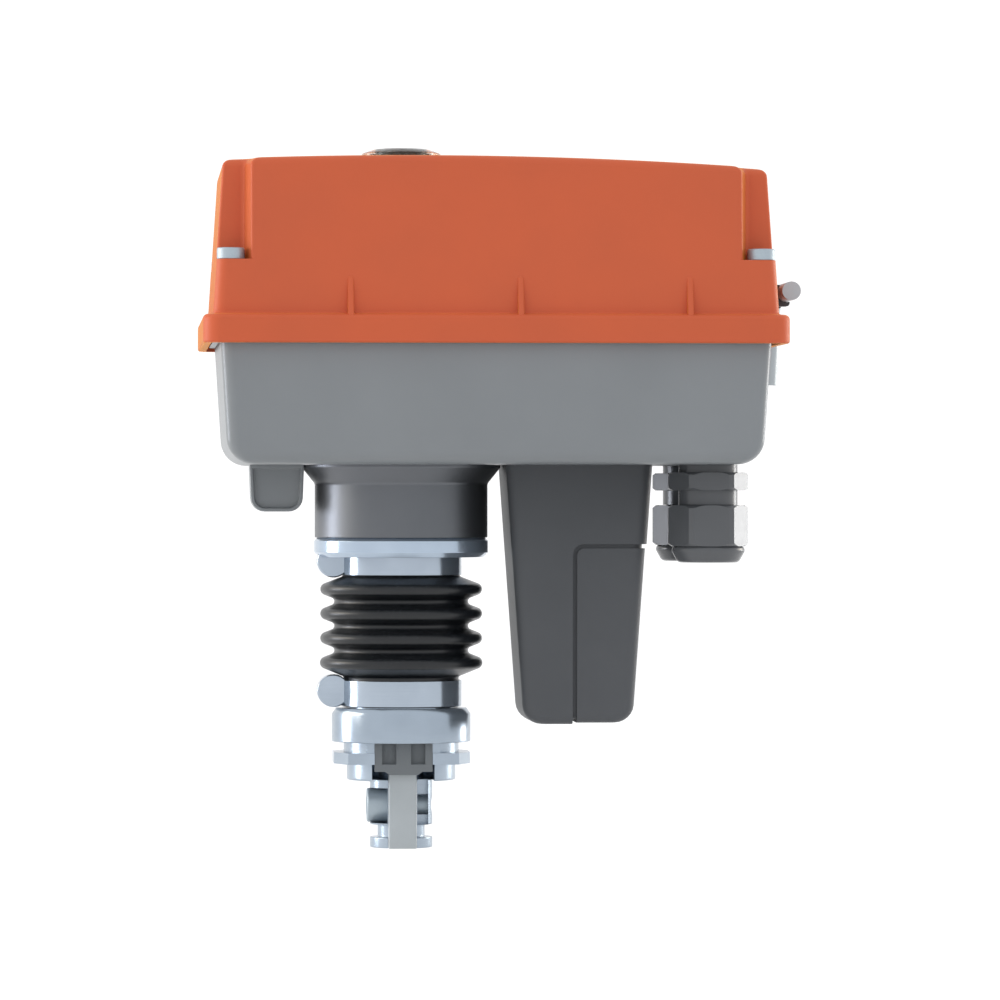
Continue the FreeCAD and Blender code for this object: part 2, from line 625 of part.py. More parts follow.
def cover_form(inset, low, edge_radius, top_radius):
    """Drafted block with the shallow arch on top, made smaller all round by inset."""
    narrow = math.tan(math.radians(DRAFT_DEG))
    top = ARCH_TOP + 1
    half_width = COVER_HALF_WIDTH - inset
    half_depth = COVER_HALF_DEPTH - inset
    lean = (top - low) * narrow
    at_low = (RIM_TOP - low) * narrow

    def arch(x):
        return ARCH_TOP - inset - (x - COVER_ARCH_X) ** 2 / (2 * COVER_ARCH_RADIUS)

    left = HOUSING_X - half_width - at_low
    right = HOUSING_X + half_width + at_low
    left_top = left + lean
    right_top = right - lean
    points = [Vector(left, -half_depth * 2, low), Vector(left_top, -half_depth * 2, arch(left_top)),
              Vector(COVER_ARCH_X, -half_depth * 2, arch(COVER_ARCH_X)),
              Vector(right_top, -half_depth * 2, arch(right_top)), Vector(right, -half_depth * 2, low)]
    wire = Part.Wire([
        Part.LineSegment(points[0], points[1]).toShape(),
        Part.Arc(points[1], points[2], points[3]).toShape(),
        Part.LineSegment(points[3], points[4]).toShape(),
        Part.LineSegment(points[4], points[0]).toShape(),
    ])
    long_way = Part.Face(wire).extrude(Vector(0, half_depth * 4, 0))
    side = [(-half_depth - at_low, low, 0), (-half_depth - at_low + lean, top, 0),
            (half_depth + at_low - lean, top, 0), (half_depth + at_low, low, 0)]
    across = prism(side, lambda p: Vector(left - 5, p.x, p.y), Vector(right - left + 10, 0, 0))
    body = long_way.common(across)
    upright = []
    crown = []
    for edge in body.Edges:
        box = edge.BoundBox
        if box.ZLength > top - low - 12:
            upright.append(edge)
        elif box.ZMin > low + 10:
            crown.append(edge)
    body = body.makeFillet(edge_radius, upright)
    crown = [edge for edge in body.Edges if edge.BoundBox.ZMin > ARCH_TOP - 8 - inset]
    return body.makeFillet(top_radius, crown)


def cover():
    """Orange shell: arched top, four corner recesses over the screws, ribs and a deep rim."""
    outer = cover_form(0, RIM_TOP, COVER_CORNER_RADIUS, COVER_TOP_RADIUS)
    inner = cover_form(WALL, COVER_LAND, COVER_CORNER_RADIUS - WALL, 1.0)
    top = ARCH_TOP + 5
    for side, face, _, _ in SCREW_PLACES:
        outer = outer.cut(notch(side, face, 0, LEDGE, top))
        inner = inner.cut(notch(side, face, WALL, LEDGE - WALL, top))
    rim = plate(rectangle(HOUSING_X, RIM_HALF_WIDTH, RIM_HALF_DEPTH, RIM_CORNER_RADIUS), RIM_LOW, RIM_TOP)
    under_rim = plate(
        rectangle(HOUSING_X, RIM_HALF_WIDTH - WALL, RIM_HALF_DEPTH - WALL, RIM_CORNER_RADIUS - WALL),
        RIM_LOW, COVER_LAND)
    body = outer.fuse(rim).cut(under_rim).cut(inner)
    extras = []
    for _, _, x, y in SCREW_PLACES:
        extras.append(cylinder(x, y, COVER_LAND, LEDGE, SCREW_BOSS_RADIUS).common(outer.fuse(rim)))
    for index in (-1, 0, 1):
        for face in (-1, 1):
            extras.append(rib(RIB_MIDDLE_X + index * RIB_SPACING, face))
    seat = ARCH_TOP + LENS_FOOT
    extras.append(cylinder(0, 0, ARCH_TOP - WALL, seat, LENS_RADIUS + 0.8))
    body = body.fuse(extras)
    holes = [cylinder(0, 0, ARCH_TOP - 6, seat + 1, LENS_RADIUS - 2.8)]
    for _, _, x, y in SCREW_PLACES:
        holes.append(cylinder(x, y, COVER_LAND - 1, LEDGE + 1, COVER_SCREW_RADIUS + SCREW_CLEARANCE))
    return body.cut(holes).removeSplitter()


def rib(x, face):
    """Thin upright rib between the rim and the wall above it."""
    wall_y = COVER_HALF_DEPTH - RIB_HEIGHT * math.tan(math.radians(DRAFT_DEG))
    corners = [(COVER_HALF_DEPTH - 2, RIM_TOP, 0), (RIM_HALF_DEPTH - 0.4, RIM_TOP, 0),
               (wall_y, RIM_TOP + RIB_HEIGHT, 0), (COVER_HALF_DEPTH - 2, RIM_TOP + RIB_HEIGHT - 2, 0)]
    return prism(corners, lambda p: Vector(x - RIB_THICKNESS / 2, face * p.x, p.y),
                 Vector(RIB_THICKNESS, 0, 0))


def crank_clip(y):
    """Open cradle on the cover's right side that holds the crank's long leg."""
    wall_x = HOUSING_X + COVER_HALF_WIDTH - 1.8
    wrap = 1.4
    y_range = (y - CRANK_CLIP_WIDTH / 2, y + CRANK_CLIP_WIDTH / 2)
    reach = CRANK_X + 1.2
    body = block((wall_x, reach), y_range,
                 (CRANK_Z - CRANK_RADIUS - wrap, CRANK_Z + CRANK_RADIUS + wrap))
    channel_radius = CRANK_RADIUS + 0.1
    channel = bar(Vector(CRANK_X, y_range[0] - 1, CRANK_Z), ALONG_Y, CRANK_CLIP_WIDTH + 2, channel_radius)
    mouth = block((CRANK_X, reach + 1), (y_range[0] - 1, y_range[1] + 1),
                  (CRANK_Z - channel_radius, CRANK_Z + channel_radius))
    return body.cut(channel).cut(mouth)


def crank_clips():
    clips = Part.makeCompound([crank_clip(CRANK_CLIP_FRONT_Y), crank_clip(CRANK_CLIP_BACK_Y)])
    return clips.cut(cover_form(0, RIM_TOP, COVER_CORNER_RADIUS, COVER_TOP_RADIUS))


def hand_crank():
    """Bent round bar: long leg along the case, arm turned down beside the tub."""
    bend = CRANK_BEND_RADIUS
    corner = Vector(CRANK_X, CRANK_BACK_Y, CRANK_Z)
    start = Vector(CRANK_X, CRANK_FRONT_Y, CRANK_Z)
    before = corner - Vector(0, bend, 0)
    after = corner - Vector(0, 0, bend)
    half_turn = bend * (1 - math.sqrt(0.5))
    middle = corner - Vector(0, half_turn, half_turn)
    end = corner - Vector(0, 0, CRANK_ARM_LENGTH)
    path = Part.Wire([
        Part.LineSegment(start, before).toShape(),
        Part.Arc(before, middle, after).toShape(),
        Part.LineSegment(after, end).toShape(),
    ])
    section = Part.Wire([Part.makeCircle(CRANK_RADIUS, start, ALONG_Y)])
    return path.makePipeShell([section], True, False)


def cover_seal():
    """Flat gasket along the top of the tub's wall, widened round the four screws."""
    half_width = LIP_HALF_WIDTH - SEAL_INSET
    half_depth = LIP_HALF_DEPTH - SEAL_INSET
    outer = rectangle(HOUSING_X, half_width, half_depth, LIP_RADIUS)
    inner = rectangle(HOUSING_X, half_width - SEAL_WIDTH, half_depth - SEAL_WIDTH,
                      LIP_RADIUS - SEAL_WIDTH / 2)
    whole = plate(outer, BASE_TOP, COVER_LAND)
    body = whole.cut(plate(inner, BASE_TOP, COVER_LAND))
    for _, _, x, y in SCREW_PLACES:
        body = body.fuse(cylinder(x, y, BASE_TOP, COVER_LAND, SCREW_BOSS_RADIUS).common(whole))
        body = body.cut(cylinder(x, y, BASE_TOP, COVER_LAND, COVER_SCREW_RADIUS + SCREW_CLEARANCE))
    return body.removeSplitter()


def cover_screws():
    bite = LEDGE - BASE_TOP + COVER_SCREW_BITE - 0.5
    return Part.makeCompound([
        cap_screw(x, y, LEDGE, bite, COVER_SCREW_RADIUS, COVER_SCREW_HEAD_RADIUS,
                  COVER_SCREW_HEAD_HEIGHT, 2.2)
        for _, _, x, y in SCREW_PLACES
    ])


def neck():
    """Round casting between the tub and the flange, slotted inside for the spindle's key pin."""
    spigot_top = FLOOR + NECK_SPIGOT_HEIGHT
    body = turned([
        (NECK_BORE_RADIUS, FLANGE_TOP + FLANGE_SPIGOT_HEIGHT, 0),
        (FLANGE_SPIGOT_RADIUS, FLANGE_TOP + FLANGE_SPIGOT_HEIGHT, 0),
        (FLANGE_SPIGOT_RADIUS, FLANGE_TOP, 0),
        (NECK_RADIUS - 0.6, FLANGE_TOP, 0),
        (NECK_RADIUS, FLANGE_TOP + 0.6, 0),
        (NECK_RADIUS, BASE_LOW - NECK_CONE_HEIGHT, 2),
        (NECK_CONE_RADIUS, BASE_LOW, 0),
        (NECK_SPIGOT_RADIUS, BASE_LOW, 0),
        (NECK_SPIGOT_RADIUS, spigot_top, 0),
        (BEARING_RADIUS, spigot_top, 0),
        (BEARING_RADIUS, spigot_top - BEARING_WIDTH, 0),
        (NECK_BORE_RADIUS, spigot_top - BEARING_WIDTH, 0),
    ])
    slot_half = KEY_PIN_RADIUS + RUNNING_CLEARANCE
    slot = block((-NECK_SLOT_REACH, NECK_SLOT_REACH), (-slot_half, slot_half),
                 (FLANGE_TOP + FLANGE_SPIGOT_HEIGHT, spigot_top - BEARING_WIDTH))
    body = body.cut(slot)
    for x, y in NECK_SCREW_PLACES:
        body = body.cut(cylinder(x, y, BASE_LOW - 9, BASE_LOW + 1, NECK_SCREW_RADIUS))
    return body


def mounting_flange():
    """Steel disc with a spigot up into the neck and a collar down into the bellows."""
    recess_radius = BELLOWS_CUFF_RADIUS + CLAMP_BAND_THICKNESS + 1.2
    recess_top = FLANGE_LOW + CUFF_RECESS + 0.3
    collar_low = FLANGE_LOW - 6.0
    body = turned([
        (BUSH_RADIUS, collar_low, 0),
        (BELLOWS_COLLAR_RADIUS, collar_low, 0),
        (BELLOWS_COLLAR_RADIUS, recess_top, 0),
        (recess_radius, recess_top, 0),
        (recess_radius, FLANGE_LOW, 0),
        (FLANGE_RADIUS, FLANGE_LOW, FLANGE_EDGE),
        (FLANGE_RADIUS, FLANGE_TOP, FLANGE_EDGE),
        (FLANGE_SPIGOT_RADIUS, FLANGE_TOP, 0),
        (FLANGE_SPIGOT_RADIUS, FLANGE_TOP + FLANGE_SPIGOT_HEIGHT, 0),
        (BUSH_RADIUS, FLANGE_TOP + FLANGE_SPIGOT_HEIGHT, 0),
    ])
    front = CLAMP_BARREL_HALF_LENGTH + CLAMP_HEAD_LENGTH + 0.4
    relief = bar(Vector(CLAMP_BARREL_X, -front, UPPER_BARREL_Z), ALONG_Y, 2 * front,
                 CLAMP_BARREL_RADIUS + 0.3)
    return body.cut(relief.cut(cylinder(0, 0, collar_low, FLANGE_TOP, BELLOWS_COLLAR_RADIUS)))


def guide_bush():
    high = FLANGE_TOP + FLANGE_SPIGOT_HEIGHT
    return cylinder(0, 0, high - BUSH_LENGTH, high, BUSH_RADIUS, SPINDLE_RADIUS + RUNNING_CLEARANCE)


def spindle():
    """Smooth rod up to the shoulder, screw thread above it."""
    smooth = cylinder(0, 0, HEAD_LOW, SPINDLE_SHOULDER, SPINDLE_RADIUS)
    thread = cylinder(0, 0, SPINDLE_SHOULDER, SPINDLE_TOP, THREAD_RADIUS)
    body = smooth.fuse(thread)
    hole = bar(Vector(-SPINDLE_RADIUS - 1, 0, KEY_PIN_Z), ALONG_X, 2 * SPINDLE_RADIUS + 2, KEY_PIN_RADIUS)
    return body.cut(hole)


def anti_rotation_pin():
    return bar(Vector(-KEY_PIN_HALF_LENGTH, 0, KEY_PIN_Z), ALONG_X, 2 * KEY_PIN_HALF_LENGTH, KEY_PIN_RADIUS)


def drive_nut():
    """Bronze nut: thread inside, seat for the drive gear, and a small pinion cut near its top."""
    gear_top = FLOOR + FEEDBACK_WHEEL_RISE + FEEDBACK_WHEEL_WIDTH + 0.4
    low_part = cylinder(0, 0, NUT_LOW, FLOOR + FEEDBACK_WHEEL_RISE - 0.8, NUT_RADIUS)
    teeth = gear(0, 0, FLOOR + FEEDBACK_WHEEL_RISE - 0.8, gear_top, NUT_PINION_TEETH, FEEDBACK_MODULE, 0)
    top_part = cylinder(0, 0, gear_top, NUT_TOP, NUT_JOURNAL_RADIUS)
    body = low_part.fuse([teeth, top_part])
    body = body.cut(cylinder(0, 0, NUT_LOW - 1, NUT_TOP + 1, THREAD_RADIUS + RUNNING_CLEARANCE))
    return body.cut(cylinder(0, 0, NUT_LOW - 1, NUT_THREAD_LOW, SPINDLE_RADIUS + 0.4))


def drive_gear():
    low = FLOOR + DRIVE_GEAR_RISE
    body = gear(0, 0, low, low + DRIVE_GEAR_WIDTH, DRIVE_TEETH, DRIVE_MODULE, NUT_RADIUS)
    for step in range(6):
        angle = math.radians(60 * step + 30)
        hole_x = 15.5 * math.cos(angle)
        hole_y = 15.5 * math.sin(angle)
        body = body.cut(cylinder(hole_x, hole_y, low, low + DRIVE_GEAR_WIDTH, 4))
    return body


def lower_bearing():
    top = FLOOR + NECK_SPIGOT_HEIGHT
    return cylinder(0, 0, top - BEARING_WIDTH, top, BEARING_RADIUS, NUT_RADIUS + RUNNING_CLEARANCE)


def upper_bearing():
    low = FLOOR + GEAR_PLATE_RISE - 0.8
    high = FLOOR + GEAR_PLATE_RISE + GEAR_PLATE_THICKNESS + 0.8
    bore = NUT_JOURNAL_RADIUS + RUNNING_CLEARANCE
    body = cylinder(0, 0, low + 0.8, high - 0.8, UPPER_BEARING_RADIUS, bore)
    collar = cylinder(0, 0, high - 0.8, high, UPPER_BEARING_RADIUS + 1.4, bore)
    return body.fuse(collar).removeSplitter()


COMPOUND_FIRST = meshing_tooth(0, 0, DRIVE_TEETH, COMPOUND_PINION_TEETH)
MOTOR_FIRST = meshing_tooth(0, COMPOUND_FIRST, COMPOUND_WHEEL_TEETH, MOTOR_PINION_TEETH)
FEEDBACK_DIRECTION = math.radians(FEEDBACK_ANGLE_DEG)
FEEDBACK_FIRST = meshing_tooth(FEEDBACK_DIRECTION, 0, NUT_PINION_TEETH, FEEDBACK_WHEEL_TEETH)
INDICATOR_FIRST = meshing_tooth(FEEDBACK_DIRECTION + math.pi, FEEDBACK_FIRST, FEEDBACK_PINION_TEETH,
                                INDICATOR_TEETH)


def compound_gear():
    """Large wheel driven by the motor and small pinion that drives the nut's gear, in one piece."""
    low = FLOOR + COMPOUND_WHEEL_RISE
    high = FLOOR + DRIVE_GEAR_RISE + DRIVE_GEAR_WIDTH + 0.5
    shoulder = low + WHEEL_WIDTH
    wheel = gear(COMPOUND_X, 0, low, shoulder, COMPOUND_WHEEL_TEETH, DRIVE_MODULE, 0, COMPOUND_FIRST)
    pinion = gear(COMPOUND_X, 0, shoulder, high, COMPOUND_PINION_TEETH, DRIVE_MODULE, 0, COMPOUND_FIRST)
    bore = cylinder(COMPOUND_X, 0, low - 1, high + 1, COMPOUND_AXLE_RADIUS + RUNNING_CLEARANCE)
    return wheel.fuse(pinion).cut(bore).removeSplitter()


def compound_axle():
    return cylinder(COMPOUND_X, 0, FLOOR - 1, FLOOR + GEAR_PLATE_RISE + GEAR_PLATE_THICKNESS,
                    COMPOUND_AXLE_RADIUS)


def motor_pinion():
    low = FLOOR + COMPOUND_WHEEL_RISE
    return gear(MOTOR_X, 0, low, low + WHEEL_WIDTH, MOTOR_PINION_TEETH, DRIVE_MODULE, MOTOR_SHAFT_RADIUS,
                MOTOR_FIRST)


def motor_shaft():
    return cylinder(MOTOR_X, 0, MOTOR_SHAFT_LOW, FLOOR + COMPOUND_WHEEL_RISE + WHEEL_WIDTH + 1,
                    MOTOR_SHAFT_RADIUS)


def motor():
    """Round can with a stepped front boss, hanging by its face from the floor of the case."""
    body = turned([
        (0, MOTOR_TOP - MOTOR_LENGTH, 0),
        (MOTOR_RADIUS, MOTOR_TOP - MOTOR_LENGTH, 1.2),
        (MOTOR_RADIUS, MOTOR_TOP, 0.8),
        (6.0, MOTOR_TOP, 0),
        (6.0, FLOOR, 0),
        (0, FLOOR, 0),
    ], MOTOR_X, 0)
    bore = cylinder(MOTOR_X, 0, MOTOR_SHAFT_LOW, FLOOR + 1, MOTOR_SHAFT_RADIUS + RUNNING_CLEARANCE)
    body = body.cut(bore)
    for x, y in MOTOR_SCREW_PLACES:
        body = body.cut(cylinder(x, y, MOTOR_TOP - 6, MOTOR_TOP, SMALL_SCREW_RADIUS))
    return body


def motor_screws():
    """Screws through the floor of the case into the motor and into its housing."""
    return Part.makeCompound([
        cap_screw(x, y, FLOOR, 8.0, SMALL_SCREW_RADIUS,
        SMALL_SCREW_HEAD_RADIUS, SMALL_SCREW_HEAD_HEIGHT, SMALL_SCREW_RADIUS)
        for x, y in MOTOR_SCREW_PLACES + BOX_SCREW_PLACES
    ])


def motor_box(inset, low_inset, high):
    return drafted_box(MOTOR_BOX_X, MOTOR_BOX_HALF_WIDTH - inset, MOTOR_BOX_HALF_DEPTH - inset,
                       BASE_LOW - MOTOR_BOX_HEIGHT + low_inset, high, MOTOR_BOX_DRAFT_DEG,
                       MOTOR_BOX_SIDE_DRAFT_DEG, MOTOR_BOX_END_RADIUS - inset,
                       max(MOTOR_BOX_EDGE_RADIUS - inset, 0.8))


def motor_housing():
    """Tapered box around the motor, stepped in over its lower right part."""
    full = motor_box(0, 0, BASE_LOW)
    slim = motor_box(PANEL_STEP, 0, BASE_LOW)
    lower_right = block((MOTOR_BOX_X - PANEL_SIDE_X, MOTOR_BOX_X + 40), (-40, 40),
                        (BASE_LOW - MOTOR_BOX_HEIGHT - 5, BASE_LOW - PANEL_TOP_DROP))
    body = full.cut(lower_right).fuse(slim.common(lower_right))
    hollow = motor_box(MOTOR_BOX_WALL + PANEL_STEP, MOTOR_BOX_WALL + PANEL_STEP, BASE_LOW)
    body = body.cut(hollow)
    for x, y in BOX_SCREW_PLACES:
        boss = cylinder(x, y, BASE_LOW - 14, BASE_LOW, BOX_BOSS_RADIUS).common(full)
        body = body.fuse(boss).cut(cylinder(x, y, BASE_LOW - 8, BASE_LOW, SMALL_SCREW_RADIUS))
    return body.removeSplitter()


def gland_body(y):
    """Threaded entry with a hexagon collar, in the case's floor."""
    collar_top = BASE_LOW - GLAND_COLLAR_DROP
    collar_low = collar_top - GLAND_COLLAR_HEIGHT
    neck_low = collar_low - GLAND_NECK_HEIGHT
    body = cylinder(GLAND_X, y, neck_low - 9, LOCKNUT_SEAT + LOCKNUT_HEIGHT + 1.5, GLAND_THREAD_RADIUS)
    body = body.fuse(cylinder(GLAND_X, y, neck_low, BASE_LOW, GLAND_NECK_RADIUS))
    body = body.fuse(hexagon(GLAND_X, y, collar_low, collar_top, GLAND_FLATS, GLAND_CORNER_RADIUS))
    bore = cylinder(GLAND_X, y, neck_low - 10, LOCKNUT_SEAT + LOCKNUT_HEIGHT + 2, 5.4)
    seat = cylinder(GLAND_X, y, neck_low - 10, neck_low - 1, 6.6)
    return body.cut(bore).cut(seat).removeSplitter()


def gland_cap(y):
    """Hexagon cap nut with a rounded end and an open mouth for the cable."""
    body = hexagon(GLAND_X, y, GLAND_CAP_LOW, GLAND_CAP_TOP, GLAND_FLATS, GLAND_CORNER_RADIUS)
    dome_low = GLAND_CAP_LOW - GLAND_DOME_HEIGHT
    dome = turned([(0, dome_low, 0), (GLAND_FLATS / 2, dome_low, GLAND_DOME_HEIGHT - 0.6),
                   (GLAND_FLATS / 2, GLAND_CAP_LOW, 0), (0, GLAND_CAP_LOW, 0)], GLAND_X, y)
    body = body.fuse(dome)
    thread = cylinder(GLAND_X, y, GLAND_CAP_TOP - 9, GLAND_CAP_TOP + 1, GLAND_THREAD_RADIUS)
    inner = cylinder(GLAND_X, y, GLAND_CAP_LOW - 1, GLAND_CAP_TOP - 9, 6.6)
    mouth = cylinder(GLAND_X, y, dome_low - 1, GLAND_CAP_TOP, 5.2)
    return body.cut(thread).cut(inner).cut(mouth)


def gland_seal(y):
    """Rubber sleeve squeezed between the body and the cap, its bore sized for the cable."""
    return cylinder(GLAND_X, y, GLAND_CAP_LOW - 1, GLAND_CAP_TOP - 1, 6.6, CABLE_BORE_RADIUS)


def gland_locknut(y):
    top = LOCKNUT_SEAT + LOCKNUT_HEIGHT
    body = hexagon(GLAND_X, y, LOCKNUT_SEAT, top, LOCKNUT_FLATS, LOCKNUT_CORNER_RADIUS)
    return body.cut(cylinder(GLAND_X, y, LOCKNUT_SEAT, top, GLAND_THREAD_RADIUS))


def neck_screws():
    return Part.makeCompound([
        cap_screw(x, y, FLOOR, WALL + 8, NECK_SCREW_RADIUS, 3.5, 2.6, 1.7) for x, y in NECK_SCREW_PLACES
    ])


def pillars(places, low, high):
    return Part.makeCompound([
        cylinder(x, y, low, high, PILLAR_RADIUS, SMALL_SCREW_RADIUS) for x, y in places
    ])


def plate_through(places, low, high, margin):
    corners = [(x + math.copysign(margin, x), y + math.copysign(margin, y), margin) for x, y in places]
    body = plate(corners, low, high)
    for x, y in places:
        body = body.cut(cylinder(x, y, low, high, SMALL_SCREW_RADIUS))
    return body


def gear_plate():
    """Steel plate over the gears that carries the nut's upper bearing and the axles."""
    body = plate_through(PLATE_PILLAR_PLACES, GEAR_PLATE_LOW, GEAR_PLATE_TOP, 5.0)
    for x, y, radius in ((0, 0, UPPER_BEARING_RADIUS), (COMPOUND_X, 0, COMPOUND_AXLE_RADIUS),
                         (FEEDBACK_X, FEEDBACK_Y, FEEDBACK_SHAFT_RADIUS + RUNNING_CLEARANCE)):
        body = body.cut(cylinder(x, y, GEAR_PLATE_LOW, GEAR_PLATE_TOP, radius))
    for x, y in BRIDGE_PILLAR_PLACES:
        body = body.cut(cylinder(x, y, GEAR_PLATE_LOW, GEAR_PLATE_TOP, SMALL_SCREW_RADIUS))
    return body


def bridge_plate():
    """Thin plate above the spindle's end that carries the indicator shaft."""
    body = plate_through(BRIDGE_PILLAR_PLACES, BRIDGE_LOW, BRIDGE_TOP, 5.0)
    for x, y, radius in ((0, 0, INDICATOR_SHAFT_RADIUS), (FEEDBACK_X, FEEDBACK_Y, FEEDBACK_SHAFT_RADIUS)):
        body = body.cut(cylinder(x, y, BRIDGE_LOW, BRIDGE_TOP, radius + RUNNING_CLEARANCE))
    return body


def plate_screws():
    """Screws that hold the bridge plate, the gear plate and the circuit board."""
    screws = [cap_screw(x, y, BRIDGE_TOP, 8.0, SMALL_SCREW_RADIUS,
        SMALL_SCREW_HEAD_RADIUS, SMALL_SCREW_HEAD_HEIGHT, SMALL_SCREW_RADIUS)
              for x, y in BRIDGE_PILLAR_PLACES]
    for x, y in PLATE_PILLAR_PLACES[1:3]:
        screws.append(cap_screw(x, y, GEAR_PLATE_TOP, 8.0, SMALL_SCREW_RADIUS,
        SMALL_SCREW_HEAD_RADIUS, SMALL_SCREW_HEAD_HEIGHT, SMALL_SCREW_RADIUS))
    for x, y in BOARD_POST_PLACES:
        screws.append(cap_screw(x, y, BOARD_LOW + BOARD_THICKNESS, 8.0, SMALL_SCREW_RADIUS,
        SMALL_SCREW_HEAD_RADIUS, SMALL_SCREW_HEAD_HEIGHT, SMALL_SCREW_RADIUS))
    return Part.makeCompound(screws)


def feedback_wheel():
    low = FLOOR + FEEDBACK_WHEEL_RISE
    return gear(FEEDBACK_X, FEEDBACK_Y, low, low + FEEDBACK_WHEEL_WIDTH, FEEDBACK_WHEEL_TEETH,
                FEEDBACK_MODULE, FEEDBACK_SHAFT_RADIUS, FEEDBACK_FIRST, 1)


def feedback_shaft():
    """Thin shaft with the pinion that turns the indicator gear cut near its top."""
    low = FLOOR + INDICATOR_GEAR_RISE - 0.5
    pinion = gear(FEEDBACK_X, FEEDBACK_Y, low, low + FEEDBACK_WHEEL_WIDTH + 1, FEEDBACK_PINION_TEETH,
                  FEEDBACK_MODULE, 0, FEEDBACK_FIRST, 1)
    rod = cylinder(FEEDBACK_X, FEEDBACK_Y, FLOOR + FEEDBACK_WHEEL_RISE - 1, BRIDGE_TOP,
                   FEEDBACK_SHAFT_RADIUS)
    return rod.fuse(pinion).removeSplitter()


def indicator_gear():
    low = FLOOR + INDICATOR_GEAR_RISE
    wheel = gear(0, 0, low, low + FEEDBACK_WHEEL_WIDTH, INDICATOR_TEETH, FEEDBACK_MODULE, 0,
                 INDICATOR_FIRST, 1)
    hub = cylinder(0, 0, low, BRIDGE_LOW - 0.3, 4.0)
    return wheel.fuse(hub).cut(cylinder(0, 0, low - 1, BRIDGE_LOW, INDICATOR_SHAFT_RADIUS)).removeSplitter()


def indicator_shaft():
    return cylinder(0, 0, FLOOR + INDICATOR_GEAR_RISE, DISC_LOW, INDICATOR_SHAFT_RADIUS)


def indicator_disc():
    """Dark disc with a raised pointer bar across its top."""
    face = DISC_TOP - 0.3
    body = turned([(0, DISC_LOW, 0), (INDICATOR_DISC_RADIUS, DISC_LOW, 0),
                   (INDICATOR_DISC_RADIUS, face, 0), (0, face, 0)])
    pointer = block((-0.8, 0.8), (-INDICATOR_DISC_RADIUS + 0.8, 0), (face - 0.3, DISC_TOP))
    return body.fuse(pointer)


def indicator_lens():
    """Clear shallow dome over the disc."""
    seat = ARCH_TOP + LENS_FOOT
    top = ARCH_TOP + LENS_HEIGHT
    inside = LENS_RADIUS - LENS_FLANGE
    return turned([
        (inside, seat, 0),
        (LENS_RADIUS, seat, 0),
        (LENS_RADIUS, top - LENS_EDGE_DROP, 0.6),
        (LENS_SHOULDER_RADIUS, top - LENS_SHOULDER_DROP, 0),
        (LENS_CROWN_RADIUS, top, 0),
        (0, top, 0),
        (0, top - LENS_WALL, 0),
        (LENS_CROWN_RADIUS, top - LENS_WALL, 0),
        (LENS_SHOULDER_RADIUS, top - LENS_SHOULDER_DROP - LENS_WALL, 0),
        (inside, top - LENS_EDGE_DROP, 0),
    ])


def position_sensor():
    body = cylinder(0, 0, BRIDGE_TOP, BRIDGE_TOP + 6, 8.0, INDICATOR_SHAFT_RADIUS + RUNNING_CLEARANCE)
    tag = block((7, 12), (-4, 4), (BRIDGE_TOP, BRIDGE_TOP + 2))
    return body.fuse(tag).removeSplitter()


def circuit_board():
    centre = (BOARD_LEFT + BOARD_RIGHT) / 2
    body = plate(rectangle(centre, (BOARD_RIGHT - BOARD_LEFT) / 2, BOARD_HALF_DEPTH, 2.0),
                 BOARD_LOW, BOARD_LOW + BOARD_THICKNESS)
    for x, y in BOARD_POST_PLACES:
        body = body.cut(cylinder(x, y, BOARD_LOW, BOARD_LOW + BOARD_THICKNESS, SMALL_SCREW_RADIUS))
    return body


def terminal_block():
    """Row of screw terminals with an open mouth and a screw over each way."""
    low = BOARD_LOW + BOARD_THICKNESS
    half = TERMINAL_WAYS * TERMINAL_PITCH / 2
    right = BOARD_RIGHT - TERMINAL_INSET
    left = right - TERMINAL_DEPTH
    top = low + TERMINAL_HEIGHT
    wire = TERMINAL_PITCH * 0.36
    profile = [(left, low, 0), (right, low, 0), (right, top - TERMINAL_SLOPE, 0),
               (right - TERMINAL_SLOPE, top, 0), (left, top, 0)]
    body = prism(profile, lambda p: Vector(p.x, -half, p.y), Vector(0, 2 * half, 0))
    for way in range(TERMINAL_WAYS):
        y = -half + (way + 0.5) * TERMINAL_PITCH
        mouth_low = low + TERMINAL_PITCH * 0.3
        body = body.cut(block((right - TERMINAL_DEPTH / 2, right), (y - wire, y + wire),
                              (mouth_low, mouth_low + 2 * wire)))
        screw_x = left + TERMINAL_DEPTH * 0.32
        body = body.cut(cylinder(screw_x, y, top - TERMINAL_PITCH / 2, top, wire))
    return body


def capacitors():
    low = BOARD_LOW + BOARD_THICKNESS
    x = BOARD_LEFT + BOARD_HOLE_INSET_LEFT + 1.6 * CAPACITOR_RADIUS
    spacing = CAPACITOR_RADIUS * 2.5
    cans = []
    for step in (0.4, 1.4):
        cans.append(cylinder(x, -step * spacing, low, low + CAPACITOR_HEIGHT, CAPACITOR_RADIUS))
    small_x = x + spacing * 0.9
    cans.append(cylinder(small_x, -spacing * 1.8, low, low + CAPACITOR_HEIGHT * 0.67,
                         CAPACITOR_RADIUS * 0.63))
    return Part.makeCompound(cans)


def relay():
    low = BOARD_LOW + BOARD_THICKNESS
    x = BOARD_LEFT + 2 * BOARD_HOLE_INSET_LEFT
    return block((x, x + RELAY_WIDTH), (RELAY_WIDTH, RELAY_WIDTH + RELAY_LENGTH), (low, low + RELAY_HEIGHT))


def clamp_barrel_z(band_top):
    return band_top - CLAMP_BAND_WIDTH / 2


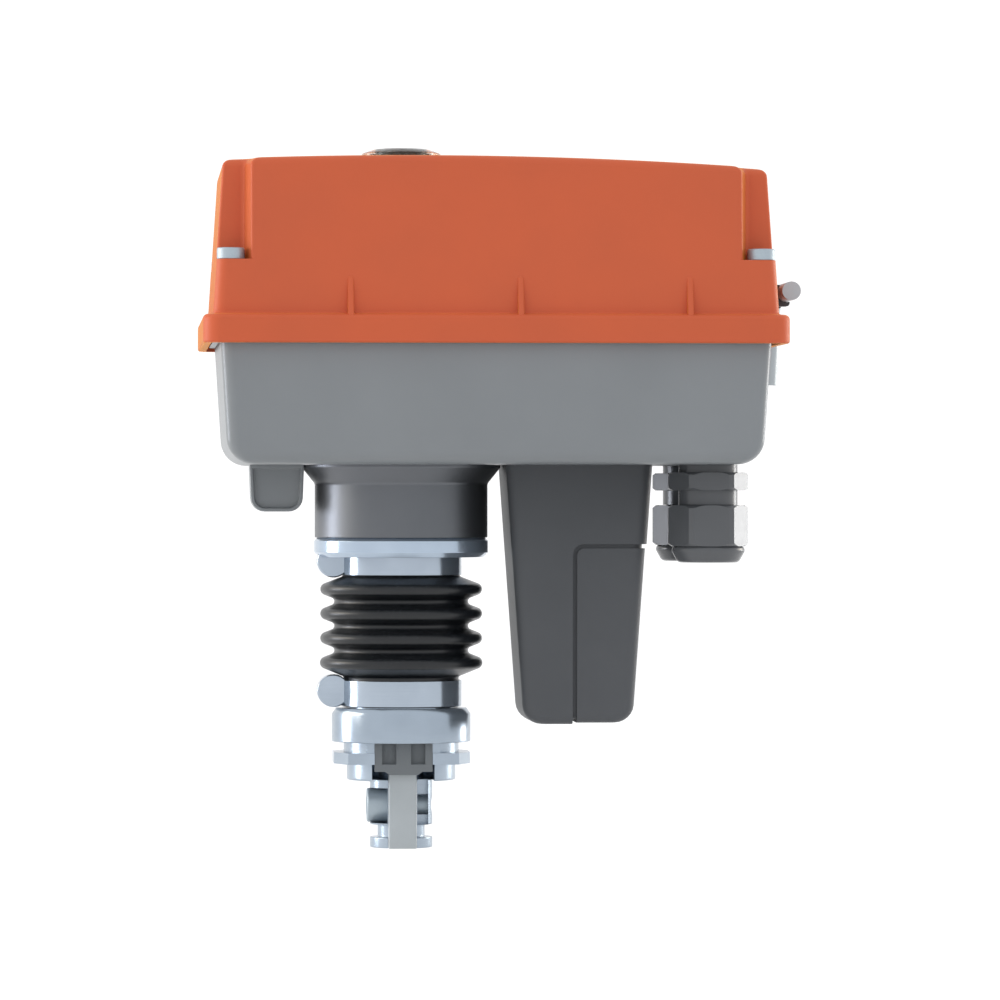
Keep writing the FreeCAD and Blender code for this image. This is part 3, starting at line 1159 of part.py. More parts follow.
def clamp_band(band_top, barrel_z):
    """Thin steel band with the barrel of its screw on the left."""
    outer = BELLOWS_CUFF_RADIUS + CLAMP_BAND_THICKNESS
    band = cylinder(0, 0, band_top - CLAMP_BAND_WIDTH, band_top, outer, BELLOWS_CUFF_RADIUS)
    barrel = bar(Vector(CLAMP_BARREL_X, -CLAMP_BARREL_HALF_LENGTH, barrel_z), ALONG_Y,
                 2 * CLAMP_BARREL_HALF_LENGTH, CLAMP_BARREL_RADIUS)
    inside = cylinder(0, 0, barrel_z - 10, barrel_z + 10, BELLOWS_CUFF_RADIUS + CLAMP_BAND_THICKNESS / 2)
    bore = bar(Vector(CLAMP_SCREW_X, -CLAMP_BARREL_HALF_LENGTH, barrel_z), ALONG_Y,
               2 * CLAMP_BARREL_HALF_LENGTH, CLAMP_SCREW_RADIUS)
    return band.fuse(barrel.cut(inside)).cut(bore)


def clamp_screw(barrel_z):
    """Screw of a clamp: round head at the front, shank through the barrel."""
    start = -CLAMP_BARREL_HALF_LENGTH - CLAMP_HEAD_LENGTH
    head = bar(Vector(CLAMP_BARREL_X, start, barrel_z), ALONG_Y, CLAMP_HEAD_LENGTH, CLAMP_BARREL_RADIUS)
    inside = cylinder(0, 0, barrel_z - 10, barrel_z + 10, BELLOWS_CUFF_RADIUS + CLAMP_BAND_THICKNESS + 0.1)
    shank = bar(Vector(CLAMP_SCREW_X, -CLAMP_BARREL_HALF_LENGTH, barrel_z), ALONG_Y,
                2 * CLAMP_BARREL_HALF_LENGTH + 1.0, CLAMP_SCREW_RADIUS)
    return head.cut(inside).fuse(shank)


def bellows():
    """Rubber bellows: plain cuffs at both ends, four round convolutions between them."""
    top = FLANGE_LOW + CUFF_RECESS
    low = HEAD_TOP + 0.4
    outer = [(BELLOWS_CUFF_RADIUS, top, 0), (BELLOWS_CUFF_RADIUS, FLANGE_LOW - 6.0, 0)]
    inner = [(BELLOWS_COLLAR_RADIUS, top, 0), (BELLOWS_COLLAR_RADIUS, FLANGE_LOW - 6.2, 0)]
    for turn in range(BELLOWS_TURNS):
        peak = FLANGE_LOW - BELLOWS_FIRST_PEAK - turn * BELLOWS_PITCH
        valley = peak - BELLOWS_PITCH / 2
        outer.append((BELLOWS_PEAK_RADIUS + 2.0, peak, 1.9))
        inner.append((BELLOWS_PEAK_RADIUS - BELLOWS_WALL, peak, 0))
        if turn < BELLOWS_TURNS - 1:
            outer.append((BELLOWS_VALLEY_RADIUS - 0.9, valley, 1.1))
            inner.append((BELLOWS_VALLEY_RADIUS - BELLOWS_WALL - 0.4, valley, 0))
    cuff_top = LOWER_BAND_TOP + 1.2
    cuff_outer = BELLOWS_CUFF_RADIUS - BELLOWS_CUFF_GAP
    cuff_inner = BELLOWS_COLLAR_RADIUS + BELLOWS_CUFF_GAP
    outer += [(cuff_outer, cuff_top, 0), (cuff_outer, low, 0)]
    inner += [(cuff_inner, cuff_top + 0.4, 0), (cuff_inner, low, 0)]
    return turned(outer + inner[::-1])


def stem_head():
    """Ring on the spindle's lower end, with a collar up into the bellows."""
    return turned([
        (SPINDLE_RADIUS, HEAD_LOW, 0),
        (HEAD_RADIUS, HEAD_LOW, 0),
        (HEAD_RADIUS, HEAD_TOP, 1.2),
        (BELLOWS_COLLAR_RADIUS, HEAD_TOP, 0),
        (BELLOWS_COLLAR_RADIUS, HEAD_TOP + 8.8, 0),
        (SPINDLE_RADIUS, HEAD_TOP + 8.8, 0),
    ])


def fork_plate():
    """Horseshoe plate open to the front, on a round spacer cut back at its front corners."""
    half = PLATE_HALF_WIDTH
    corners = [(-half, -6, 0), (-half + 4, -16.5, 0), (half - 4, -16.5, 0), (half, -6, 0), (half, 8, 0),
               (half - 8, 18, 0), (-half + 8, 18, 0), (-half, 8, 0)]
    body = plate(corners, PLATE_LOW, PLATE_TOP)
    pad = cylinder(0, 0, PLATE_TOP, HEAD_LOW, SPACER_RADIUS)
    for side in (-1, 1):
        corner_x = sorted((side * SPACER_FRONT_HALF_WIDTH, side * (SPACER_RADIUS + 1)))
        pad = pad.cut(block(corner_x, (-SPACER_RADIUS - 1, SPACER_CORNER_Y), (PLATE_TOP, HEAD_LOW)))
    opening = block((-FORK_HALF_OPENING, FORK_HALF_OPENING), (-30, 9.0), (PLATE_LOW - 1, HEAD_LOW + 1))
    return body.fuse(pad).cut(opening).removeSplitter()


def latch_block():
    """Front stop in the horseshoe's mouth, with two square windows."""
    body = block((-FORK_HALF_OPENING, FORK_HALF_OPENING), (LATCH_FRONT, LATCH_BACK), (PLATE_LOW, HEAD_LOW))
    for side in (-1, 1):
        middle = side * LATCH_WINDOW_X
        body = body.cut(block((middle - LATCH_WINDOW_X / 2, middle + LATCH_WINDOW_X / 2),
                              (LATCH_FRONT, LATCH_FRONT + 2.0), (PLATE_LOW + 0.5, HEAD_LOW)))
    tongue = prism([(-LOCK_BAR_HALF_WIDTH, PLATE_LOW, 0), (LOCK_BAR_HALF_WIDTH, PLATE_LOW, 0),
                    (LOCK_BAR_HALF_WIDTH - 0.8, PLATE_LOW - LATCH_TONGUE, 0),
                    (-LOCK_BAR_HALF_WIDTH + 0.8, PLATE_LOW - LATCH_TONGUE, 0)],
                   lambda p: Vector(p.x, LATCH_FRONT, p.y), Vector(0, LATCH_BACK - LATCH_FRONT, 0))
    return body.fuse(tongue).removeSplitter()


def fork_collar():
    """Round collar under the plate, open to the front like the plate."""
    low = PLATE_LOW - COLLAR_HEIGHT
    inner = ADAPTER_NECK_RADIUS + ADAPTER_FIT
    opening = block((-inner, inner), (-COLLAR_RADIUS, 0), (low, PLATE_LOW))
    return cylinder(0, 0, low, PLATE_LOW, COLLAR_RADIUS, inner).cut(opening)


def stem_adapter():
    """Round adapter that hangs in the fork: head, body, groove and lower disc, bored for the valve stem."""
    body = turned([
        (0, ADAPTER_LOW, 0),
        (ADAPTER_RADIUS, ADAPTER_LOW, 0.4),
        (ADAPTER_RADIUS, ADAPTER_DISC_TOP, 0),
        (ADAPTER_GROOVE_RADIUS, ADAPTER_DISC_TOP, 0),
        (ADAPTER_GROOVE_RADIUS, ADAPTER_BODY_LOW, 0),
        (ADAPTER_RADIUS, ADAPTER_BODY_LOW, 0),
        (ADAPTER_RADIUS, ADAPTER_BODY_TOP, 0),
        (ADAPTER_NECK_RADIUS, ADAPTER_BODY_TOP, 0),
        (ADAPTER_NECK_RADIUS, PLATE_LOW, 0),
        (ADAPTER_HEAD_RADIUS, PLATE_LOW, 0),
        (ADAPTER_HEAD_RADIUS, HEAD_LOW, 0),
        (0, HEAD_LOW, 0),
    ])
    start = Vector(-ADAPTER_RADIUS, 0, CLAMP_BOLT_Z)
    channel = block((-LOCK_BAR_HALF_WIDTH, LOCK_BAR_HALF_WIDTH), (-ADAPTER_RADIUS, LOCK_BAR_BACK),
                    (ADAPTER_LOW, ADAPTER_BODY_TOP))
    head_room = CLAMP_BOLT_HEAD_RADIUS + ADAPTER_FIT
    left = bar(start, ALONG_X, ADAPTER_RADIUS - CLAMP_WEB_X, head_room)
    left_front = block((-ADAPTER_RADIUS, -CLAMP_WEB_X), (-ADAPTER_RADIUS, 0),
                       (CLAMP_BOLT_Z - head_room, CLAMP_BOLT_Z + head_room))
    window = block((CLAMP_WEB_X, ADAPTER_RADIUS - ADAPTER_SKIN), (-ADAPTER_RADIUS, ADAPTER_SKIN),
                   (ADAPTER_BODY_LOW, ADAPTER_BODY_TOP))
    right = bar(Vector(CLAMP_WEB_X, 0, CLAMP_BOLT_Z), ALONG_X, ADAPTER_RADIUS - CLAMP_WEB_X,
                CLAMP_NUT_RADIUS + ADAPTER_FIT)
    body = body.cut(channel).cut(left).cut(left_front).cut(window).cut(right)
    body = body.cut(bar(start, ALONG_X, 2 * ADAPTER_RADIUS, CLAMP_BOLT_RADIUS))
    return body.cut(cylinder(0, 0, ADAPTER_LOW, CLAMP_BOLT_Z - 2 * CLAMP_BOLT_RADIUS, STEM_BORE_RADIUS))


def lock_bar():
    """Flat bar down the front of the adapter."""
    return block((-LOCK_BAR_HALF_WIDTH, LOCK_BAR_HALF_WIDTH),
                 (LOCK_BAR_BACK - LOCK_BAR_THICKNESS, LOCK_BAR_BACK),
                 (ADAPTER_LOW, PLATE_LOW - LATCH_TONGUE - 0.3))


def clamp_bolt():
    reach = CLAMP_HEAD_REACH - CLAMP_WEB_X
    head = bar(Vector(-CLAMP_HEAD_REACH, 0, CLAMP_BOLT_Z), ALONG_X, reach, CLAMP_BOLT_HEAD_RADIUS)
    shank = bar(Vector(-CLAMP_WEB_X, 0, CLAMP_BOLT_Z), ALONG_X, CLAMP_WEB_X + CLAMP_NUT_REACH,
                CLAMP_BOLT_RADIUS)
    return head.fuse(shank)


def clamp_nut():
    start = Vector(CLAMP_WEB_X, 0, CLAMP_BOLT_Z)
    length = CLAMP_NUT_REACH - CLAMP_WEB_X
    return bar(start, ALONG_X, length, CLAMP_NUT_RADIUS).cut(bar(start, ALONG_X, length, CLAMP_BOLT_RADIUS))


def main():
    os.makedirs("parts", exist_ok=True)
    save("base_case", base_case())
    save("cover", cover())
    save("cover_seal", cover_seal())
    save("cover_screws", cover_screws())
    save("crank_clips", crank_clips())
    save("hand_crank", hand_crank())
    save("neck", neck())
    save("neck_screws", neck_screws())
    save("mounting_flange", mounting_flange())
    save("guide_bush", guide_bush())
    save("spindle", spindle())
    save("anti_rotation_pin", anti_rotation_pin())
    save("drive_nut", drive_nut())
    save("drive_gear", drive_gear())
    save("lower_bearing", lower_bearing())
    save("upper_bearing", upper_bearing())
    save("compound_gear", compound_gear())
    save("compound_axle", compound_axle())
    save("motor", motor())
    save("motor_screws", motor_screws())
    save("motor_shaft", motor_shaft())
    save("motor_pinion", motor_pinion())
    save("motor_housing", motor_housing())
    save("gear_plate", gear_plate())
    save("gear_plate_pillars", pillars(PLATE_PILLAR_PLACES, FLOOR + 2.0, GEAR_PLATE_LOW))
    save("bridge_plate", bridge_plate())
    save("bridge_pillars", pillars(BRIDGE_PILLAR_PLACES, GEAR_PLATE_TOP, BRIDGE_LOW))
    save("plate_screws", plate_screws())
    save("feedback_wheel", feedback_wheel())
    save("feedback_shaft", feedback_shaft())
    save("indicator_gear", indicator_gear())
    save("indicator_shaft", indicator_shaft())
    save("indicator_disc", indicator_disc())
    save("indicator_lens", indicator_lens())
    save("position_sensor", position_sensor())
    save("circuit_board", circuit_board())
    save("terminal_block", terminal_block())
    save("capacitors", capacitors())
    save("relay", relay())
    for place, y in GLAND_PLACES.items():
        save(f"gland_body_{place}", gland_body(y))
        save(f"gland_cap_{place}", gland_cap(y))
        save(f"gland_seal_{place}", gland_seal(y))
        save(f"gland_locknut_{place}", gland_locknut(y))
    save("bellows", bellows())
    save("upper_clamp_band", clamp_band(UPPER_BAND_TOP, UPPER_BARREL_Z))
    save("upper_clamp_screw", clamp_screw(UPPER_BARREL_Z))
    save("lower_clamp_band", clamp_band(LOWER_BAND_TOP, LOWER_BARREL_Z))
    save("lower_clamp_screw", clamp_screw(LOWER_BARREL_Z))
    save("stem_head", stem_head())
    save("fork_plate", fork_plate())
    save("latch_block", latch_block())
    save("fork_collar", fork_collar())
    save("stem_adapter", stem_adapter())
    save("lock_bar", lock_bar())
    save("clamp_bolt", clamp_bolt())
    save("clamp_nut", clamp_nut())


main()
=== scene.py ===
"""Looks of the linear electric valve actuator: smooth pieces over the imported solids, their
materials, soft studio light and the camera. All lengths here are in millimetres in the solids' own
frame, turned into metres when a mesh is made."""
import bpy
import bmesh
import json
import math
from mathutils import Matrix, Vector


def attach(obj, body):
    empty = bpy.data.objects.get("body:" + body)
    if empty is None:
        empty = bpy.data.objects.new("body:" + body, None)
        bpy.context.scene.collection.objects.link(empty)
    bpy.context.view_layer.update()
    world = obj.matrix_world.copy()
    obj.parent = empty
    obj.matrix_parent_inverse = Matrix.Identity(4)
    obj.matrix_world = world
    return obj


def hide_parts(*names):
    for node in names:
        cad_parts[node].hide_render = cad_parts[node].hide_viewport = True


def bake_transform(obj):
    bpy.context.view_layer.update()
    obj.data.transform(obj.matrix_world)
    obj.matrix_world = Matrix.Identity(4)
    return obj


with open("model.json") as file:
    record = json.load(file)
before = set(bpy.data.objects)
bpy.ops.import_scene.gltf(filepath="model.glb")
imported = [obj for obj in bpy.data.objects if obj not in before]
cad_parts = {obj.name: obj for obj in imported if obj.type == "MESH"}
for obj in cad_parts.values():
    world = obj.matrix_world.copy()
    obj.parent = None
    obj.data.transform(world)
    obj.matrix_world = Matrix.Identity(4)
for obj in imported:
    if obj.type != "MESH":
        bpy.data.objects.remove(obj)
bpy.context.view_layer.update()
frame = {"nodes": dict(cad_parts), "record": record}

MM = 0.001
WELD, SLIVER = 1e-5, 1e-7  # metres: points closer than this are one, shorter edges are taken out

# Main dimensions, as in the solids
FLANGE_TOP, FLANGE_LOW = 3.05, -3.05
FLANGE_RADIUS = 27.2
BASE_LOW, BASE_TOP = 25.65, 67.45
BASE_HALF_WIDTH, BASE_HALF_DEPTH = 84.2, 55.4
WALL = 2.6
FLOOR = BASE_LOW + WALL
HOUSING_X = 26.6
COVER_HALF_WIDTH, COVER_HALF_DEPTH = 86.2, 56.0
RECESS_X, RECESS_Y = 9.6, 10.2
RIM_LOW, RIM_TOP, RIM_OUT = 62.35, 71.15, 3.1
LEDGE = RIM_TOP + 16.6
ARCH_TOP = RIM_TOP + 48.4
ARCH_RADIUS, ARCH_X = 1490.0, 5.0
DRAFT = math.tan(math.radians(3.6))
SCREW_X, SCREW_Y = 80.8, 50.6
CORNERS = [(i, j) for i in (-1, 1) for j in (-1, 1)]
RIB_PLACES = (-18.0, 33.6, 85.2)
WINDOW_RADIUS = 9.4
LENS_TOP = ARCH_TOP + 4.9
GLAND_X, GLAND_Y, GLAND_TOP = 93.7, 26.0, BASE_LOW - 2.4
GLAND_FLATS, GLAND_CORNER, GLAND_BORE, GLAND_NECK = 22.4, 12.4, 6.7, 9.1
CRANK_X, CRANK_Z, CRANK_RADIUS = 119.2, RIM_TOP + 8.2, 2.9
HEAD_TOP = FLANGE_LOW - 47.0
HEAD_LOW = HEAD_TOP - 11.6
PLATE_TOP = HEAD_LOW - 1.7
PLATE_LOW = PLATE_TOP - 4.4
COLLAR_LOW = PLATE_LOW - 6.4
ADAPTER_LOW = FLANGE_LOW - 90.6
CROSS_Z = FLANGE_LOW - 77.4
STEM_TRAVEL = 10.0
CUFF_RADIUS = 18.3
CLAMP_X = -21.3


def rounded(corners, closed=True, step=math.radians(15)):
    """Polyline through corners (a, b) or (a, b, radius) with the given ones rounded."""
    points = []
    count = len(corners)
    for i, corner in enumerate(corners):
        here = Vector(corner[:2])
        radius = corner[2] if len(corner) > 2 else 0
        if radius <= 0 or (not closed and i in (0, count - 1)):
            points.append(here)
            continue
        back = (Vector(corners[i - 1][:2]) - here).normalized()
        ahead = (Vector(corners[(i + 1) % count][:2]) - here).normalized()
        half = back.angle(ahead) / 2
        centre = here + (back + ahead).normalized() * (radius / math.sin(half))
        start = here + back * (radius / math.tan(half)) - centre
        turn = math.pi - 2 * half
        if back.x * ahead.y - back.y * ahead.x > 0:
            turn = -turn
        pieces = max(2, math.ceil(abs(turn) / step))
        for k in range(pieces + 1):
            angle = turn * k / pieces
            points.append(centre + Matrix.Rotation(angle, 2) @ start)
    return [(p.x, p.y) for p in points]


def rect(left, right, low, high):
    """Corners of a rectangle. Turned, it makes a plug from 0 outwards, or else a tube."""
    return [(left, low), (right, low), (right, high), (left, high)]


def put(name, data):
    """New object in the scene."""
    obj = bpy.data.objects.new(name, data)
    bpy.context.scene.collection.objects.link(obj)
    return obj


def make(name, verts, faces):
    """Piece from points in millimetres, its doubled points merged, its faces turned outwards."""
    mesh = bpy.data.meshes.new(name)
    mesh.from_pydata([Vector(v) * MM for v in verts], [], faces)
    bm = bmesh.new()
    bm.from_mesh(mesh)
    bmesh.ops.remove_doubles(bm, verts=bm.verts, dist=WELD)
    bmesh.ops.dissolve_degenerate(bm, edges=bm.edges, dist=SLIVER)
    bmesh.ops.recalc_face_normals(bm, faces=bm.faces)
    bm.to_mesh(mesh)
    bm.free()
    return put(name, mesh)


def turned(name, profile, x=0.0, y=0.0, z=0.0, steps=96):
    """Surface of revolution about an upright line, from a rounded (radius, height) profile."""
    points = rounded(profile)
    count = len(points)
    verts, faces = [], []
    for k in range(steps):
        c, s = math.cos(2 * math.pi * k / steps), math.sin(2 * math.pi * k / steps)
        verts += [(x + r * c, y + r * s, z + h) for r, h in points]
        a, b = k * count, ((k + 1) % steps) * count
        for i in range(count):
            j = (i + 1) % count
            faces.append((a + i, b + i, b + j, a + j))
    return make(name, verts, faces)


def prism(name, corners, low, high, axis="z"):
    """Straight prism over a rounded outline, from low to high along x, y or z."""
    points = rounded(corners)
    place = {"z": lambda a, b, h: (a, b, h), "y": lambda a, b, h: (a, h, b),
             "x": lambda a, b, h: (h, a, b)}[axis]
    count = len(points)
    verts = [place(a, b, low) for a, b in points] + [place(a, b, high) for a, b in points]
    faces = [tuple(range(count)), tuple(range(count, 2 * count))]
    faces += [(i, (i + 1) % count, count + (i + 1) % count, count + i) for i in range(count)]
    return make(name, verts, faces)


def rod(name, profile, start, direction, steps=64):
    """Turned piece lying along a direction, its profile as (radius, distance)."""
    obj = turned(name, profile, steps=steps)
    turn = Vector((0, 0, 1)).rotation_difference(Vector(direction)).to_matrix().to_4x4()
    obj.data.transform(Matrix.Translation(Vector(start) * MM) @ turn)
    return obj


def bake(obj):
    """Applies the modifiers of a piece to its mesh."""
    bpy.context.view_layer.update()
    mesh = bpy.data.meshes.new_from_object(obj.evaluated_get(bpy.context.evaluated_depsgraph_get()))
    obj.modifiers.clear()
    old = obj.data
    obj.data = mesh
    bpy.data.meshes.remove(old)
    return obj


def carve(obj, *tools, operation="DIFFERENCE"):
    """Cuts the tools out of a piece, or unites or intersects it with them. They are used up."""
    for tool in tools:
        modifier = obj.modifiers.new("carve", "BOOLEAN")
        modifier.operation = operation
        modifier.solver = "EXACT"
        modifier.object = tool
        bake(obj)
        bpy.data.objects.remove(tool)
    return obj


def join(obj, *others):
    """Puts the meshes of other pieces into one piece."""
    bm = bmesh.new()
    bm.from_mesh(obj.data)
    for other in others:
        bm.from_mesh(other.data)
        bpy.data.objects.remove(other)
    bm.to_mesh(obj.data)
    bm.free()
    return obj


def soften(obj, width, segments=2, angle=32):
    """Rounds every edge sharper than the angle, and shades flats flat and rounds smooth."""
    if width:
        bevel = obj.modifiers.new("edge", "BEVEL")
        bevel.width = width * MM
        bevel.segments = segments
        bevel.limit_method = "ANGLE"
        bevel.angle_limit = math.radians(angle)
        bake(obj)
    obj.data.polygons.foreach_set("use_smooth", [True] * len(obj.data.polygons))
    obj.data.set_sharp_from_angle(angle=math.radians(38))
    normals = obj.modifiers.new("normals", "WEIGHTED_NORMAL")
    normals.keep_sharp = True
    normals.weight = 100
    bake(obj)
    return obj


# Lofted shells: cover, case and motor housing
CORNER_STEPS = 15
SPANS = 30


def corner_path(half_width, half_depth, radius, recess):
    """Points of the corner at +x +y, from the side wall round to the back wall. A recess is (wall x,
    wall y, flare, outer radius, inner radius, open), and where it isn't open the corner is closed
    by an arc that meets the walls where the recess does."""
    sides = []
    if recess:
        wall_x, wall_y, flare, outer, inner, is_open = recess
        corners = [(half_width, 0), (half_width, wall_y, outer), (wall_x, wall_y, inner),
                   (wall_x - flare, half_depth, outer), (0, half_depth)]
        sides = rounded(corners, closed=False, step=math.radians(24))[1:-1]
        if is_open:
            return sides
    count = CORNER_STEPS - 2 if sides else CORNER_STEPS
    path = []
    for k in range(count):
        angle = math.pi / 2 * k / (count - 1)
        path.append((half_width - radius + radius * math.cos(angle),
                     half_depth - radius + radius * math.sin(angle)))
    if sides:
        path = [(half_width, sides[0][1])] + path + [(sides[-1][0], half_depth)]
    return path


def loop(level):
    """Closed outline of a level (half width, half depth, radius, recess, centre x, height rule)."""
    half_width, half_depth, radius, recess, centre, height = level
    path = corner_path(half_width, half_depth, radius, recess)
    back = [(path[-1][0] * (1 - 2 * k / SPANS), half_depth) for k in range(1, SPANS)]
    upper = path + back + [(-a, b) for a, b in reversed(path)]
    lower = [(a, -b) for a, b in reversed(upper)]
    return [(centre + a, b, height(centre + a)) for a, b in upper + lower]


def shell(name, levels):
    """Skin through a stack of levels, its ends closed by strips running front to back."""
    loops = [loop(level) for level in levels]
    count = len(loops[0])
    verts = [p for one in loops for p in one]
    faces = []
    for k in range(len(loops) - 1):
        a, b = k * count, (k + 1) * count
        for i in range(count):
            j = (i + 1) % count
            faces.append((a + i, a + j, b + j, b + i))
    for start in (0, (len(loops) - 1) * count):
        end = start + count - 1
        for i in range(count // 2 - 1):
            faces.append((start + i, start + i + 1, end - 1 - i, end - i))
    return make(name, verts, faces)


def flat(z):
    """Height rule of a level that lies flat."""
    return lambda x: z


def arch(drop):
    """Height rule of a level that follows the cover's arched top, a drop below it."""
    return lambda x: ARCH_TOP - drop - (x - ARCH_X) ** 2 / (2 * ARCH_RADIUS)


def round_in(radius, rise):
    """How far a rounded foot lies inside its wall at a rise above its lowest point."""
    return radius - math.sqrt(radius ** 2 - (radius - rise) ** 2) if rise < radius else 0.0


def cover_level(offset, height, inset=0.0, rise=0.0, radius=4.0, is_open=False):
    """Level of the cover: offset outwards from its wall at the rim, at a height or on the arch, with
    its corner recesses open or not, their walls set in from the outside by inset."""
    recess = (COVER_HALF_WIDTH - RECESS_X - inset, COVER_HALF_DEPTH - RECESS_Y - inset, 2.0, 1.0,
              1.6 + inset, is_open)
    rule = flat(height) if isinstance(height, float) else height
    return (COVER_HALF_WIDTH + offset - rise * DRAFT, COVER_HALF_DEPTH + offset - rise * DRAFT,
            radius, recess, HOUSING_X, rule)


def build_cover():
    """Moulded shell: rim, drafted walls with their corner recesses, crown and arched top, then the
    window's seat, the ribs and the screws' columns."""
    rim = rounded([(0.0, RIM_LOW), (RIM_OUT, RIM_LOW, 0.7), (RIM_OUT, RIM_TOP, 1.6), (0.0, RIM_TOP, 0.8),
                   (-0.5, RIM_TOP + 8)], closed=False, step=math.radians(22))[1:-1]
    to_ledge, to_arch, seam = LEDGE - RIM_TOP, ARCH_TOP - RIM_TOP - 2.5, BASE_TOP + 1.5
    outer = [cover_level(a, z, radius=4.0 + a * 0.65) for a, z in rim]
    outer.append(cover_level(0, LEDGE, rise=to_ledge))
    outer.append(cover_level(0, LEDGE, rise=to_ledge, is_open=True))
    crown = 2.4
    for k in range(6):
        angle = math.radians(18 * k)
        inset, drop = crown * (1 - math.cos(angle)), crown * (1 - math.sin(angle))
        outer.append(cover_level(-inset, arch(drop), inset, rise=to_arch, is_open=True))
    inner = [cover_level(0.5, RIM_LOW, WALL, radius=3.4), cover_level(0.5, seam, WALL, radius=3.4),
             cover_level(-WALL, seam, WALL, radius=1.6),
             cover_level(-WALL, LEDGE - WALL, WALL, rise=to_ledge, radius=1.6),
             cover_level(-WALL, LEDGE - WALL, WALL, rise=to_ledge, is_open=True),
             cover_level(-WALL, arch(WALL), WALL, rise=to_arch, is_open=True)]
    body = shell("cover_shell", outer[::-1] + inner)
    soften(body, 0.35, 2, 50)
    hole = turned("hole", rect(0, WINDOW_RADIUS, 0, 30), z=ARCH_TOP - 12, steps=64)
    soften(carve(body, hole), 0)
    seat = turned("seat", [(WINDOW_RADIUS, -WALL), (13.2, -WALL), (13.2, 0.6, 0.4),
                           (WINDOW_RADIUS, 0.6)], z=ARCH_TOP)
    extras = [soften(seat, 0)]
    for middle in RIB_PLACES:
        for face in (-1, 1):
            outline = [(face * 54.0, RIM_TOP - 1), (face * 58.7, RIM_TOP - 1), (face * 58.7, RIM_TOP + 0.4),
                       (face * 55.4, RIM_TOP + 11.6), (face * 54.0, RIM_TOP + 10)]
            web = prism("web", outline, middle - 0.9, middle + 0.9, "x")
            extras.append(soften(web, 0.5, 3))
    for i, j in CORNERS:
        column = turned("column", rect(2.4, 4.4, seam, LEDGE - 1.2),
                        HOUSING_X + i * SCREW_X, j * SCREW_Y, steps=32)
        extras.append(soften(column, 0))
    return join(body, *extras)


def tub_level(offset, z, edge=0.0, end=0.0):
    narrow = (BASE_TOP - z) * DRAFT
    return (BASE_HALF_WIDTH + offset - narrow - end, BASE_HALF_DEPTH + offset - narrow - edge,
            max(4.0 + offset - edge * 0.6, 0.8), None, HOUSING_X, flat(z))


def tub_foot(low, end_radius, edge_radius, offset):
    """Levels of the rounded foot: wide rounds along the ends, smaller along front and back."""
    levels = []
    steps = 8
    for k in range(steps + 1):
        rise = end_radius * (1 - math.cos(math.radians(90 * k / steps)))
        end = end_radius * (1 - math.sin(math.radians(90 * k / steps)))
        levels.append(tub_level(offset, low + rise, round_in(edge_radius, rise), end))
    return levels


def build_tub():
    """Case: drafted tub with a lip, the screws' posts, the posts and seats on its floor, the lug."""
    step_z = BASE_TOP - 4.0
    lip = [(85.8, 55.6, 5.0, None, HOUSING_X, flat(z)) for z in (step_z, BASE_TOP)]
    outer = tub_foot(BASE_LOW, 7.5, 4.0, 0.0) + [tub_level(0, step_z)] + lip
    inner = [tub_level(-WALL, BASE_TOP)] + tub_foot(FLOOR, 4.9, 1.6, -WALL)[::-1]
    body = soften(shell("tub", outer + inner), 0.4, 2, 40)
    carve(body, turned("spigot_bore", rect(0, 16.02, BASE_LOW - 1, FLOOR + 1)))
    extras = []
    for i, j in CORNERS:
        post = turned("post", rect(2.1, 4.2, BASE_TOP - 16, BASE_TOP),
                      HOUSING_X + i * (SCREW_X - 0.4), j * (SCREW_Y - 0.2), steps=32)
        limit = shell("limit", [tub_level(-0.2, BASE_TOP - 18), tub_level(-0.2, step_z)] + lip)
        extras.append(soften(carve(post, limit, operation="INTERSECT"), 0))
    posts = [(x, y, 3.5, 44.3) for x in (42, 100) for y in (-43, 43)]
    posts += [(x, y, 5.0, 2.0) for x, y in ((-34, -20), (46.5, -24), (46.5, 24), (-36, 35))]
    posts += [(31.0, 0, 4.0, 5.8), (GLAND_X, -GLAND_Y, 10.9, 2.6), (GLAND_X, GLAND_Y, 10.9, 2.6)]
    for x, y, radius, height in posts:
        profile = [(0, FLOOR - 0.5), (radius, FLOOR - 0.5), (radius, FLOOR + height, 0.3),
                   (0, FLOOR + height)]
        extras.append(soften(turned("post", profile, x, y, steps=40), 0))
    extras.append(build_lug())
    return join(body, *extras)


def lug_outline(inset):
    """U-shaped outline of the lug below the case's left end."""
    left, right, taper = -47.5 + inset, -30.5 - inset, 0.6
    top, low = BASE_LOW + (0.6 if inset == 0 else -inset), BASE_LOW - 14.5 + inset
    radius = max(4.4 - inset, 1.0)
    return [(left, top), (left + taper, low, radius), (right - taper, low, radius), (right, top)]


def build_lug():
    body = prism("lug", lug_outline(0), -7.0, 7.0, "y")
    carve(body, prism("pocket", lug_outline(1.1), -8.0, -5.2, "y"))
    return soften(body, 0.35, 3)


BOX_X, BOX_LOW = 54.4, BASE_LOW - 80.4
BOX_HALF_WIDTH, BOX_HALF_DEPTH = 22.8, 21.0
BOX_DRAFT, BOX_SIDE_DRAFT = math.tan(math.radians(4.0)), math.tan(math.radians(1.2))


def box_level(inset, z, end=0.0, edge=0.0):
    fall = BASE_LOW - z
    return (BOX_HALF_WIDTH - inset - fall * BOX_DRAFT - end,
            BOX_HALF_DEPTH - inset - fall * BOX_SIDE_DRAFT - edge,
            max(4.0 - inset * 0.5 - edge * 0.8, 0.8), None, BOX_X, flat(z))


